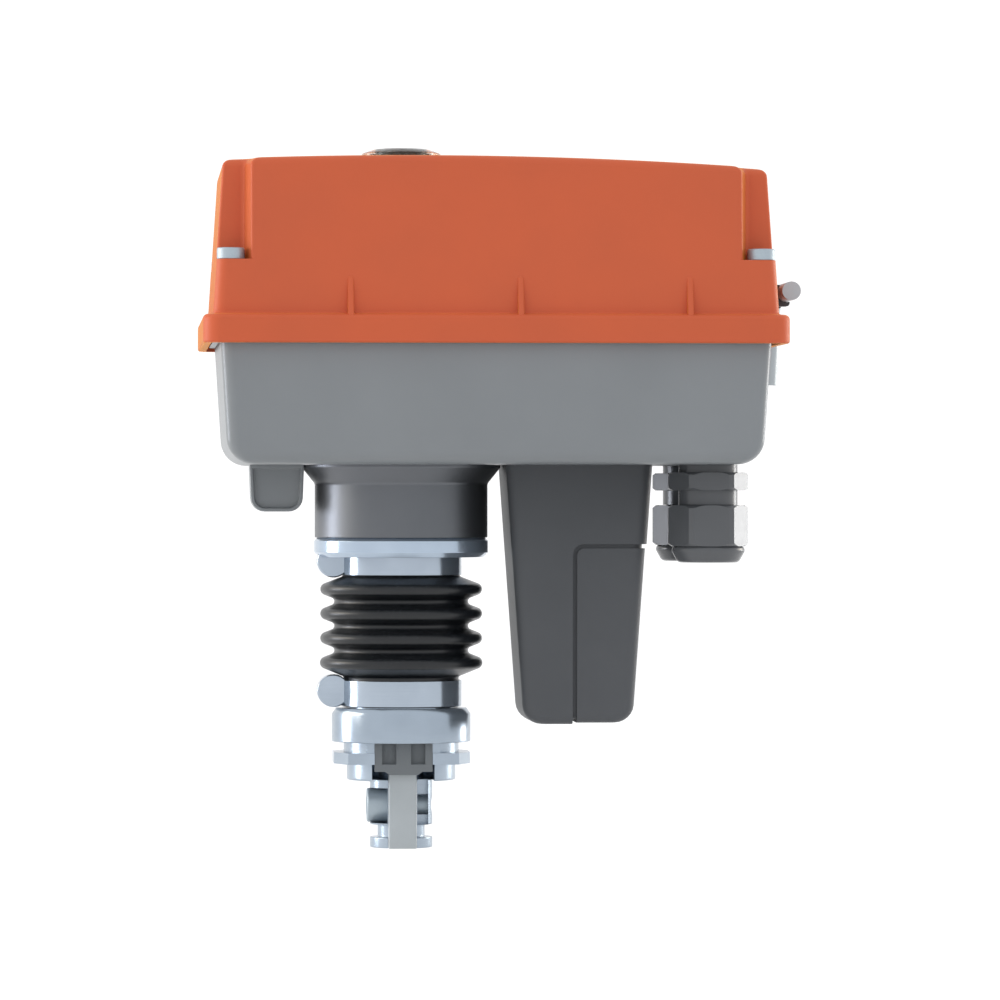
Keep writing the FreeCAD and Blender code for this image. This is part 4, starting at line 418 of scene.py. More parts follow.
def box_levels(inset):
    """Levels of the box from its rounded foot up, set in by inset."""
    end_radius, edge_radius = 5.5, 2.5
    levels = []
    for k in range(7):
        angle = math.radians(15 * k)
        rise, end = end_radius * (1 - math.cos(angle)), end_radius * (1 - math.sin(angle))
        levels.append(box_level(inset, BOX_LOW + inset + rise, end, round_in(edge_radius, rise)))
    return levels + [box_level(inset, BASE_LOW)]


def box_corner(name, left, top, radius):
    """Block over all of the box that lies right of left and below top, its upper corner rounded."""
    right, low = BOX_X + 40, BOX_LOW - 9
    return prism(name, [(left, low), (right, low), (right, top), (left, top, radius)], -40, 40, "y")


def build_motor_box():
    """Tapered box whose lower right part is a panel set in by a soft step, with a groove round it."""
    full = shell("motor_box", box_levels(0))
    carve(full, box_corner("away", BOX_X - 2.1, BASE_LOW - 24.6, 3.4))
    soften(full, 0.7, 4, 40)
    panel = shell("panel", box_levels(0.4))
    carve(panel, box_corner("keep", BOX_X - 0.8, BASE_LOW - 25.9, 2.2), operation="INTERSECT")
    soften(panel, 0.5, 4, 40)
    return join(full, panel, soften(shell("groove", box_levels(1.4)), 0))


# Neck, flange, bellows and clamps
def build_neck():
    return soften(turned("neck_casting", [
        (12.0, FLANGE_TOP), (27.0, FLANGE_TOP, 0.3), (27.0, FLANGE_TOP + 16.8, 1.6),
        (31.0, BASE_LOW - 0.8, 0.5), (31.0, BASE_LOW), (16.0, BASE_LOW), (16.0, FLOOR + 0.6),
        (12.0, FLOOR + 0.6)], steps=128), 0)


def build_flange():
    """Chamfered disc with the bellows' seat below it, relieved where the upper clamp's barrel lies."""
    bore, seat = 8.05, 16.5
    disc = turned("flange_disc", [
        (bore, FLANGE_LOW - 6.0), (seat, FLANGE_LOW - 6.0), (seat, FLANGE_LOW + 2.8),
        (20.1, FLANGE_LOW + 2.8), (20.1, FLANGE_LOW), (FLANGE_RADIUS - 1.5, FLANGE_LOW, 0.2),
        (FLANGE_RADIUS, FLANGE_LOW + 1.5, 0.2), (FLANGE_RADIUS, FLANGE_TOP - 1.0, 0.2),
        (FLANGE_RADIUS - 1.0, FLANGE_TOP, 0.2), (bore, FLANGE_TOP)], steps=144)
    relief = rod("relief", rect(0, 5.4, 0, 12), (CLAMP_X, -6, FLANGE_LOW - 1.25), (0, 1, 0), 48)
    return soften(carve(disc, carve(relief, turned("ring", rect(0, seat, -20, 20)))), 0)


def build_band(name, top):
    """Bright strip round a cuff."""
    outside, low = CUFF_RADIUS + 0.6, top - 8
    band = turned(name, [(CUFF_RADIUS, low), (outside, low, 0.15), (outside, top, 0.15),
                         (CUFF_RADIUS, top)], steps=128)
    return soften(band, 0)


def build_barrel(name, z):
    """Clamp barrel at the band's left: a turned eye lying front to back, with its screw."""
    barrel = rod(name, [(0, -5.6), (5.1, -5.6, 0.5), (5.1, 3.6, 0.4), (0, 3.6)], (CLAMP_X, 0, z),
                 (0, 1, 0), 72)
    core = turned("core", rect(0, CUFF_RADIUS + 0.35, -12, 12), z=z)
    screw = rod("screw", [(0, 3.5), (2.0, 3.5), (2.0, 4.6, 0.4), (0, 4.6)], (CLAMP_X - 1.0, 0, z),
                (0, 1, 0), 32)
    return join(soften(carve(barrel, core), 0.15, 2, 50), soften(screw, 0))


def build_bellows():
    """Rubber sleeve: cuffs under the bands, four round convolutions with soft valleys."""
    pitch = 7.65
    outer = [(CUFF_RADIUS - 0.02, FLANGE_LOW + 2.6), (CUFF_RADIUS - 0.02, FLANGE_LOW - 6.0, 0.8)]
    inner = [(16.6, FLANGE_LOW + 2.6), (16.6, FLANGE_LOW - 6.4, 0.8)]
    for turn in range(4):
        peak = FLANGE_LOW - 10.0 - turn * pitch
        outer.append((28.6, peak, 1.9))
        inner.append((23.4, peak, 0.7))
        if turn < 3:
            valley = peak - pitch / 2
            outer.append((18.8, valley, 1.2))
            inner.append((17.6, valley, 1.0))
    end = HEAD_TOP + 0.35
    outer += [(CUFF_RADIUS - 0.32, FLANGE_LOW - 37.3, 0.8), (CUFF_RADIUS - 0.32, end)]
    inner += [(16.85, FLANGE_LOW - 36.8, 0.8), (16.85, end)]
    return soften(turned("bellows_sleeve", outer + inner[::-1], steps=144), 0)


# Stem head, fork and adapter
HEAD_FOOT = HEAD_LOW + 1.1


def build_head():
    return soften(turned("stem_ring", [
        (6.0, HEAD_FOOT), (21.7, HEAD_FOOT, 0.3), (21.7, HEAD_TOP - 1.9), (20.4, HEAD_TOP, 0.2),
        (16.5, HEAD_TOP), (16.5, HEAD_TOP + 8.8, 0.4), (6.0, HEAD_TOP + 8.8)], steps=128), 0)


def build_fork():
    """Horseshoe plate with a smaller round spacer on it, flush only between its front corners."""
    half, low, top = 21.2, PLATE_LOW + 0.5, PLATE_TOP - 0.35
    body = prism("horseshoe", [(-half, -6), (-half + 4, -16.5), (half - 4, -16.5), (half, -6), (half, 8),
                               (half - 8, 18), (-half + 8, 18), (-half, 8)], low, top)
    carve(body, turned("spacer", rect(0, 18.0, top - 0.2, HEAD_FOOT)), operation="UNION")
    nose = prism("nose", rect(-11.3, 11.3, -15.6, 0), top - 0.2, HEAD_FOOT)
    carve(body, nose, operation="UNION")
    carve(body, prism("mouth", rect(-9.0, 9.0, -30, 9.0), low - 2, HEAD_FOOT + 2))
    return soften(body, 0.3, 2, 20)


def build_latch():
    """Stop in the fork's mouth: a web, three uprights with windows between, and a tongue below."""
    front, back, low, top = -16.3, -11.0, PLATE_LOW - 1.7, HEAD_FOOT - 0.05
    half, sill = 8.95, PLATE_LOW + 0.6
    outline = [(-half, sill), (-half, low), (-5.8, low), (-4.4, low - 1.0), (4.4, low - 1.0), (5.8, low),
               (half, low), (half, sill)]
    web = prism("latch", outline, front, back, "y")
    for left, right in ((-half, -6.7), (-2.3, 2.3), (6.7, half)):
        post = prism("post", rect(left, right, sill - 0.1, top), front, back, "y")
        carve(web, post, operation="UNION")
    rear = prism("rear", rect(-8.9, 8.9, sill - 0.1, top), front + 2.0, back, "y")
    carve(web, rear, operation="UNION")
    return soften(web, 0.25, 2)


def build_collar():
    """Half collar under the plate, its inside wider than the adapter's neck."""
    inside, outside, low, top = 9.9, 17.0, COLLAR_LOW + 1.6, PLATE_LOW + 0.5
    body = turned("half_collar", [(inside, low), (outside, low, 0.7), (outside, top), (inside, top)],
                  steps=112)
    carve(body, prism("mouth", rect(-9.7, 9.7, -30, 0), COLLAR_LOW - 2, PLATE_LOW + 2))
    return soften(body, 0.2, 2, 60)


def build_adapter():
    """Grooved round adapter with a channel for the lock bar and seats for the cross bolt."""
    low, shoulder = ADAPTER_LOW, COLLAR_LOW + 2.0
    radius, groove, neck, spigot = 9.8, 7.4, 7.0, 8.6
    body = turned("adapter", [
        (0, low), (radius, low, 0.5), (radius, low + 3.4, 0.4), (groove, low + 3.4, 0.3),
        (groove, low + 7.2, 0.3), (radius, low + 7.2, 0.4), (radius, shoulder, 0.3), (neck, shoulder),
        (neck, PLATE_LOW + 0.8), (spigot, PLATE_LOW + 0.8), (spigot, HEAD_FOOT), (0, HEAD_FOOT)],
        steps=112)
    tools = [
        prism("channel", rect(-4.5, 4.5, -12, -6.5), low - 2, PLATE_LOW - 2.0),
        rod("seat", rect(0, 5.5, 0, 10), (-4.6, 0, CROSS_Z), (-1, 0, 0), 48),
        prism("front", rect(-12, -4.6, -12, 0), CROSS_Z - 5.5, CROSS_Z + 5.5),
        rod("hole", rect(0, 3.3, 0, 10), (4.6, 0, CROSS_Z), (1, 0, 0), 48),
        prism("window", rect(4.6, 8.2, -12, 1.6), low + 7.25, shoulder - 0.05),
        turned("bore", rect(0, 3.5, low - 2, CROSS_Z - 3.6), steps=64)]
    return soften(carve(body, *tools), 0.12, 2, 60)


def build_bar():
    top = -70.2
    outline = [(-4.4, -10.6, 0.5), (4.4, -10.6, 0.5), (4.4, -6.5), (-4.4, -6.5)]
    return soften(prism("lock_strip", outline, ADAPTER_LOW, top), 0.3, 2)


def build_cross_bolt():
    head = rod("cross_bolt", [(0, 0), (1.8, 0), (1.8, 9.2), (5.3, 9.2), (5.3, 15.4, 0.6), (3.0, 15.4),
                              (2.6, 14.2), (0, 14.2)], (4.6, 0, CROSS_Z), (-1, 0, 0))
    stub = rod("stub", [(0, 0), (1.78, 0), (1.78, 4.5, 0.4), (0, 4.5)], (4.5, 0, CROSS_Z), (1, 0, 0), 32)
    return join(soften(head, 0), soften(stub, 0))


def build_cross_nut():
    profile = [(1.85, 0), (3.1, 0, 0.2), (3.1, 4.0, 0.4), (1.85, 4.0)]
    return soften(rod("cross_nut", profile, (4.62, 0, CROSS_Z), (1, 0, 0), 48), 0)


# Cable glands
def hex_piece(name, low, high, y, chamfer):
    """Hexagon whose corners are turned down at both ends, as on a milled nut."""
    side = GLAND_FLATS / math.sqrt(3)
    angles = [math.radians(60 * k) for k in range(6)]
    body = prism(name, [(side * math.cos(a), side * math.sin(a)) for a in angles], low, high)
    body.data.transform(Matrix.Translation(Vector((GLAND_X, y, 0)) * MM))
    face, slope = GLAND_CORNER - chamfer, chamfer * 0.8
    cut = turned("round", [(0, low - 1), (face, low - 0.01), (GLAND_CORNER, low + slope),
                           (GLAND_CORNER, high - slope), (face, high + 0.01), (0, high + 1)], GLAND_X, y)
    return carve(body, cut, operation="INTERSECT")


def build_gland_body(name, y):
    top, thread = GLAND_TOP, 7.95
    body = hex_piece(name, top - 5.5, top, y, 0.9)
    core = turned("core", [
        (GLAND_BORE, top - 5.6), (GLAND_NECK, top - 5.6), (GLAND_NECK, BASE_LOW - 0.02),
        (thread, BASE_LOW - 0.02), (thread, 34.8), (GLAND_BORE, 34.8)], GLAND_X, y)
    lower = turned("lower", [
        (GLAND_BORE, top - 12.0), (7.9, top - 12.0), (7.9, top - 10.0), (GLAND_NECK, top - 10.0),
        (GLAND_NECK, top - 5.2), (GLAND_BORE, top - 5.2)], GLAND_X, y)
    carve(body, turned("hole", rect(0, GLAND_BORE, 0, 30), GLAND_X, y, z=top - 20))
    return join(soften(body, 0.25, 2, 25), soften(core, 0.1), soften(lower, 0.1))


def build_gland_cap(name, y):
    top = GLAND_TOP - 5.5 - 4.6
    body = hex_piece(name, top - 12.7, top, y, 1.1)
    carve(body, turned("hole", rect(0, 8.0, 0, 40), GLAND_X, y, z=top - 20))
    dome = turned("dome", [
        (4.6, top - 17.7, 0.8), (9.4, top - 17.7, 1.8), (12.2, top - 12.6, 1.4), (8.0, top - 12.4),
        (8.0, top - 12.9), (6.6, top - 14.2), (4.6, top - 14.2)], GLAND_X, y)
    return join(soften(body, 0.3, 2, 25), soften(dome, 0))


# Small outer pieces of the cover
def build_cover_screw(name, i, j):
    x, y = HOUSING_X + i * SCREW_X, j * SCREW_Y
    head = turned(name, [(0, LEDGE), (4.2, LEDGE, 0.3), (4.2, LEDGE + 3.5, 0.5), (2.5, LEDGE + 3.5),
                         (2.5, LEDGE + 1.3), (0, LEDGE + 1.3)], x, y, steps=64)
    shank = turned("shank", [(0, LEDGE - 33), (1.9, LEDGE - 33, 0.5), (1.9, LEDGE), (0, LEDGE)], x, y,
                   steps=32)
    return join(soften(head, 0), soften(shank, 0))


def build_lens():
    seat, top = ARCH_TOP + 0.6, LENS_TOP
    return soften(turned("lens_dome", [
        (10.0, seat), (12.4, seat), (12.4, top - 1.6, 0.7), (8.8, top - 0.3, 1.0), (4.7, top, 0.6),
        (0, top), (0, top - 0.4), (4.7, top - 0.4), (8.8, top - 0.7, 0.8), (10.0, top - 1.6)]), 0)


def build_disc():
    """Dial under the lens, with its raised pointer."""
    face, half = LENS_TOP - 1.25, 0.8
    disc = turned("dial_disc", [(0, face - 2.1), (8.1, face - 2.1, 0.2), (8.1, face, 0.3), (0, face)])
    pointer = prism("pointer", [(-half, -7.3), (half, -7.3), (half, 0, 0.3), (-half, 0, 0.3)],
                    face - 0.1, face + 0.28)
    return join(soften(disc, 0), soften(pointer, 0.1))


def build_crank():
    """Round bar bent once: a long leg along the side, and the arm that hangs down at its back."""
    curve = bpy.data.curves.new("crank_line", "CURVE")
    curve.dimensions = "3D"
    curve.bevel_depth = CRANK_RADIUS * MM
    curve.bevel_resolution = 8
    curve.use_fill_caps = True
    points = rounded([(-30.0, CRANK_Z), (26.0, CRANK_Z, 8.0), (26.0, CRANK_Z - 28.0)], closed=False,
                     step=math.radians(9))
    spline = curve.splines.new("POLY")
    spline.points.add(len(points) - 1)
    for point, (y, z) in zip(spline.points, points):
        lean = 0.09 * max(RIM_LOW + 1.0 - z, 0.0)
        point.co = ((CRANK_X - lean) * MM, y * MM, z * MM, 1)
    line = put("crank_handle", curve)
    bpy.context.view_layer.update()
    mesh = bpy.data.meshes.new_from_object(line.evaluated_get(bpy.context.evaluated_depsgraph_get()))
    bpy.data.objects.remove(line)
    return soften(put("crank_handle", mesh), 0.5, 3, 60)


def build_cradle(name, y):
    """Open cradle on the cover's right wall that holds the crank's long leg."""
    wall, out = HOUSING_X + COVER_HALF_WIDTH - 9.0 * DRAFT - 0.9, CRANK_X + 1.2
    low, high = CRANK_Z - 4.3, CRANK_Z + 2.4
    body = prism(name, [(wall, low, 0.2), (out, low, 1.0), (out, high, 0.4), (wall, high, 0.2)],
                 y - 2.5, y + 2.5, "y")
    channel = rod("channel", rect(0, 3.0, 0, 9), (CRANK_X, y - 4.5, CRANK_Z), (0, 1, 0), 48)
    opening = rect(CRANK_X, CRANK_X + 4, CRANK_Z - CRANK_RADIUS, CRANK_Z + CRANK_RADIUS)
    return soften(carve(body, channel, prism("mouth", opening, y - 4, y + 4, "y")), 0.25, 2, 40)


# Finishes. Patterns are sized in millimetres of the object itself.
MIDDLE = {"From Min": 0.3, "From Max": 0.7}  # nearly all values of a noise lie between these
COLOURS = {"output": 2, "data_type": "RGBA"}  # a mix of colours, given back by its third output


def tone(code):
    """Linear colour of an sRGB hex code."""
    channels = [int(code[k:k + 2], 16) / 255 for k in (1, 3, 5)]
    return tuple(c / 12.92 if c <= 0.04045 else ((c + 0.055) / 1.055) ** 2.4 for c in channels) + (1.0,)


def add(tree, kind, inputs, output=0, **settings):
    """Adds a node with its settings. Its inputs are values or other nodes' outputs, and it gives one
    of its own outputs back."""
    node = tree.nodes.new(kind)
    for key, value in settings.items():
        setattr(node, key, value)
    for key, value in inputs.items():
        if isinstance(value, bpy.types.NodeSocket):
            tree.links.new(value, node.inputs[key])
        else:
            node.inputs[key].default_value = value
    return node.outputs[output] if node.outputs else None


def blank(name):
    """Empty material, its node tree, and the place on the piece in millimetres."""
    material = bpy.data.materials.new(name)
    material.use_nodes = True
    tree = material.node_tree
    tree.nodes.clear()
    metres = add(tree, "ShaderNodeTexCoord", {}, "Object")
    return material, tree, add(tree, "ShaderNodeMapping", {"Vector": metres, "Scale": (1000, 1000, 1000)})


def moulded(name, base, shade, gloss, grain=0.5, relief=0.012, specular=0.5, sheen=0.0,
            sheen_tint="#ffffff"):
    """Injection-moulded plastic. The melt's flow leaves slow mottling in the colour, some 30 mm wide, and
    the eroded mould leaves a fine grain that spreads the highlights. The real grain is 0.05 to 0.1 mm
    and is drawn at 0.3 to 0.5 mm, so that it shows. A polished mould leaves a faint ripple instead."""
    material, tree, place = blank(name)
    flow = add(tree, "ShaderNodeTexNoise", {"Vector": place, "Scale": 1 / 28, "Detail": 4.0})
    pits = add(tree, "ShaderNodeTexNoise", {"Vector": place, "Scale": 1 / grain, "Detail": 2.0})
    mottling = add(tree, "ShaderNodeMapRange", {"Value": flow, **MIDDLE})
    colour = add(tree, "ShaderNodeMix", {"Factor": mottling, 6: tone(base), 7: tone(shade)}, **COLOURS)
    satin = add(tree, "ShaderNodeMapRange", {"Value": pits, **MIDDLE, "To Min": gloss[0],
                                             "To Max": gloss[1]})
    skin = add(tree, "ShaderNodeBump", {"Height": pits, "Distance": relief * MM})
    shader = add(tree, "ShaderNodeBsdfPrincipled", {
        "Base Color": colour, "Roughness": satin, "Specular IOR Level": specular, "Sheen Weight": sheen,
        "Sheen Roughness": 0.3, "Sheen Tint": tone(sheen_tint), "Normal": skin})
    add(tree, "ShaderNodeOutputMaterial", {"Surface": shader})
    return material


def coated(name, base, shade, gloss, peel=1.2, relief=0.012, metallic=0.0, specular=0.5):
    """Powder coat or lacquer on a casting. It flows out in orange peel 0.8 to 3 mm wide over a fine
    grit, which leaves soft, slightly wavy highlights. The grit is really the powder's 0.04 mm and is
    drawn at 0.22 mm, so that it shows. A peel of 0.6 mm gives the pores of sintered steel."""
    material, tree, place = blank(name)
    thickness = add(tree, "ShaderNodeTexNoise", {"Vector": place, "Scale": 1 / 40, "Detail": 5.0})
    swell = add(tree, "ShaderNodeTexNoise", {"Vector": place, "Scale": 1 / peel, "Detail": 1.0})
    grit = add(tree, "ShaderNodeTexNoise", {"Vector": place, "Scale": 1 / 0.22, "Detail": 2.0})
    cover = add(tree, "ShaderNodeMapRange", {"Value": thickness, **MIDDLE})
    colour = add(tree, "ShaderNodeMix", {"Factor": cover, 6: tone(base), 7: tone(shade)}, **COLOURS)
    satin = add(tree, "ShaderNodeMapRange", {"Value": grit, **MIDDLE, "To Min": gloss[0],
                                             "To Max": gloss[1]})
    waves = add(tree, "ShaderNodeBump", {"Height": swell, "Distance": relief * MM})
    skin = add(tree, "ShaderNodeBump", {"Height": grit, "Distance": relief * MM / 4, "Normal": waves})
    shader = add(tree, "ShaderNodeBsdfPrincipled", {
        "Base Color": colour, "Roughness": satin, "Metallic": metallic, "Specular IOR Level": specular,
        "Normal": skin})
    add(tree, "ShaderNodeOutputMaterial", {"Surface": shader})
    return material


def worked(name, base, shade, gloss, marks=(13.0, 13.0, 0.16), relief=0.0008, cloud=18.0,
           metallic=1.0):
    """Turned, drawn, rolled or ground metal. Its tool marks are a mark's length, width and height in
    millimetres, longest the way that the tool went, and draw the highlights out along it. Turning
    marks are really 0.05 to 0.1 mm apart and are drawn at 0.1 to 0.2 mm. The plating's tone
    drifts slowly from place to place."""
    material, tree, place = blank(name)
    tarnish = add(tree, "ShaderNodeTexNoise", {"Vector": place, "Scale": 1 / cloud, "Detail": 3.0})
    along = add(tree, "ShaderNodeMapping", {"Vector": place, "Scale": tuple(1 / size for size in marks)})
    lines = add(tree, "ShaderNodeTexNoise", {"Vector": along, "Scale": 1.0, "Detail": 3.0})
    age = add(tree, "ShaderNodeMapRange", {"Value": tarnish, **MIDDLE})
    worn = add(tree, "ShaderNodeMapRange", {"Value": lines, **MIDDLE, "To Max": 0.3})
    colour = add(tree, "ShaderNodeMix", {"Factor": age, 6: tone(base), 7: tone(shade)}, **COLOURS)
    colour = add(tree, "ShaderNodeMix", {"Factor": worn, 6: colour, 7: tone(shade)}, **COLOURS)
    polish = add(tree, "ShaderNodeMapRange", {"Value": lines, **MIDDLE, "To Min": gloss[0],
                                              "To Max": gloss[1]})
    skin = add(tree, "ShaderNodeBump", {"Height": lines, "Distance": relief * MM})
    shader = add(tree, "ShaderNodeBsdfPrincipled", {
        "Base Color": colour, "Metallic": metallic, "Roughness": polish, "Normal": skin})
    add(tree, "ShaderNodeOutputMaterial", {"Surface": shader})
    return material


def rubber(name, base, talc_and_painted_highlight_colour, gloss):
    """Moulded rubber with a waxy gloss. Where the skin faces up it has pale specks, 0.4 mm wide, partly
    talc from the mould, which softens its highlights there, and partly a painted highlight on the tops of
    the folds."""
    material, tree, place = blank(name)
    specks = add(tree, "ShaderNodeTexNoise", {"Vector": place, "Scale": 1 / 0.4, "Detail": 2.0})
    wax = add(tree, "ShaderNodeTexNoise", {"Vector": place, "Scale": 1 / 7.0, "Detail": 3.0})
    normal = add(tree, "ShaderNodeNewGeometry", {}, "Normal")
    facing = add(tree, "ShaderNodeSeparateXYZ", {"Vector": normal}, "Z")
    upward = add(tree, "ShaderNodeMapRange", {"Value": facing, "From Min": 0.1, "From Max": 0.8})
    # Pale specks where the skin faces up: partly talc, partly a painted highlight on the tops of the folds
    talc_and_painted_highlight = add(tree, "ShaderNodeMapRange", {"Value": specks, "From Min": 0.62, "From Max": 0.74,
                                            "To Max": 0.4})
    talc_and_painted_highlight = add(tree, "ShaderNodeMath", {0: talc_and_painted_highlight, 1: upward}, operation="MULTIPLY")
    colour = add(tree, "ShaderNodeMix", {"Factor": talc_and_painted_highlight, 6: tone(base), 7: tone(talc_and_painted_highlight_colour)}, **COLOURS)
    satin = add(tree, "ShaderNodeMapRange", {"Value": wax, **MIDDLE, "To Min": gloss[0],
                                             "To Max": gloss[1]})
    skin = add(tree, "ShaderNodeBump", {"Height": specks, "Distance": 0.006 * MM})
    shader = add(tree, "ShaderNodeBsdfPrincipled", {
        "Base Color": colour, "Roughness": satin, "Specular IOR Level": 0.5, "Normal": skin})
    add(tree, "ShaderNodeOutputMaterial", {"Surface": shader})
    return material


def clear(name):
    """Clear moulded polycarbonate: water-clear, with rubbed scratches 2 mm long and 0.2 mm wide that
    dull it in short streaks."""
    material, tree, place = blank(name)
    along = add(tree, "ShaderNodeMapping", {"Vector": place, "Scale": (0.5, 5.0, 1.6)})
    rubbed = add(tree, "ShaderNodeTexNoise", {"Vector": along, "Scale": 1.0, "Detail": 4.0})
    polish = add(tree, "ShaderNodeMapRange", {"Value": rubbed, "From Min": 0.55, "From Max": 0.75,
                                              "To Min": 0.01, "To Max": 0.05})
    skin = add(tree, "ShaderNodeBump", {"Height": rubbed, "Distance": 0.002 * MM})
    glass = add(tree, "ShaderNodeBsdfPrincipled", {
        "Base Color": tone("#f2f6f6"), "Transmission Weight": 1.0, "IOR": 1.2, "Roughness": polish,
        "Normal": skin})
    through = add(tree, "ShaderNodeBsdfTransparent", {"Color": tone("#eef2f2")})
    shadow = add(tree, "ShaderNodeLightPath", {}, "Is Shadow Ray")
    both = add(tree, "ShaderNodeMixShader", {"Fac": shadow, 1: glass, 2: through})
    add(tree, "ShaderNodeOutputMaterial", {"Surface": both})
    return material


def printed_board(name):
    """Glass-fibre board under green solder mask: straight copper tracks show lighter through the
    lacquer, 2 mm apart, and the 0.3 mm weave dents its gloss."""
    material, tree, place = blank(name)
    tracks = add(tree, "ShaderNodeTexBrick", {
        "Vector": place, "Scale": 0.32, "Color1": tone("#0f5a33"), "Color2": tone("#0c4a2b"),
        "Mortar": tone("#2a8a55"), "Mortar Size": 0.09, "Brick Width": 3.2, "Row Height": 0.62})
    weave = add(tree, "ShaderNodeTexNoise", {"Vector": place, "Scale": 1 / 0.3, "Detail": 2.0})
    pour = add(tree, "ShaderNodeTexNoise", {"Vector": place, "Scale": 1 / 9.0, "Detail": 3.0})
    solid = add(tree, "ShaderNodeMapRange", {"Value": pour, **MIDDLE, "To Max": 0.6})
    colour = add(tree, "ShaderNodeMix", {"Factor": solid, 6: tracks, 7: tone("#0b4f2d")}, **COLOURS)
    polish = add(tree, "ShaderNodeMapRange", {"Value": weave, **MIDDLE, "To Min": 0.22,
                                              "To Max": 0.34})
    skin = add(tree, "ShaderNodeBump", {"Height": weave, "Distance": 0.01 * MM})
    shader = add(tree, "ShaderNodeBsdfPrincipled", {
        "Base Color": colour, "Roughness": polish, "Normal": skin})
    add(tree, "ShaderNodeOutputMaterial", {"Surface": shader})
    return material


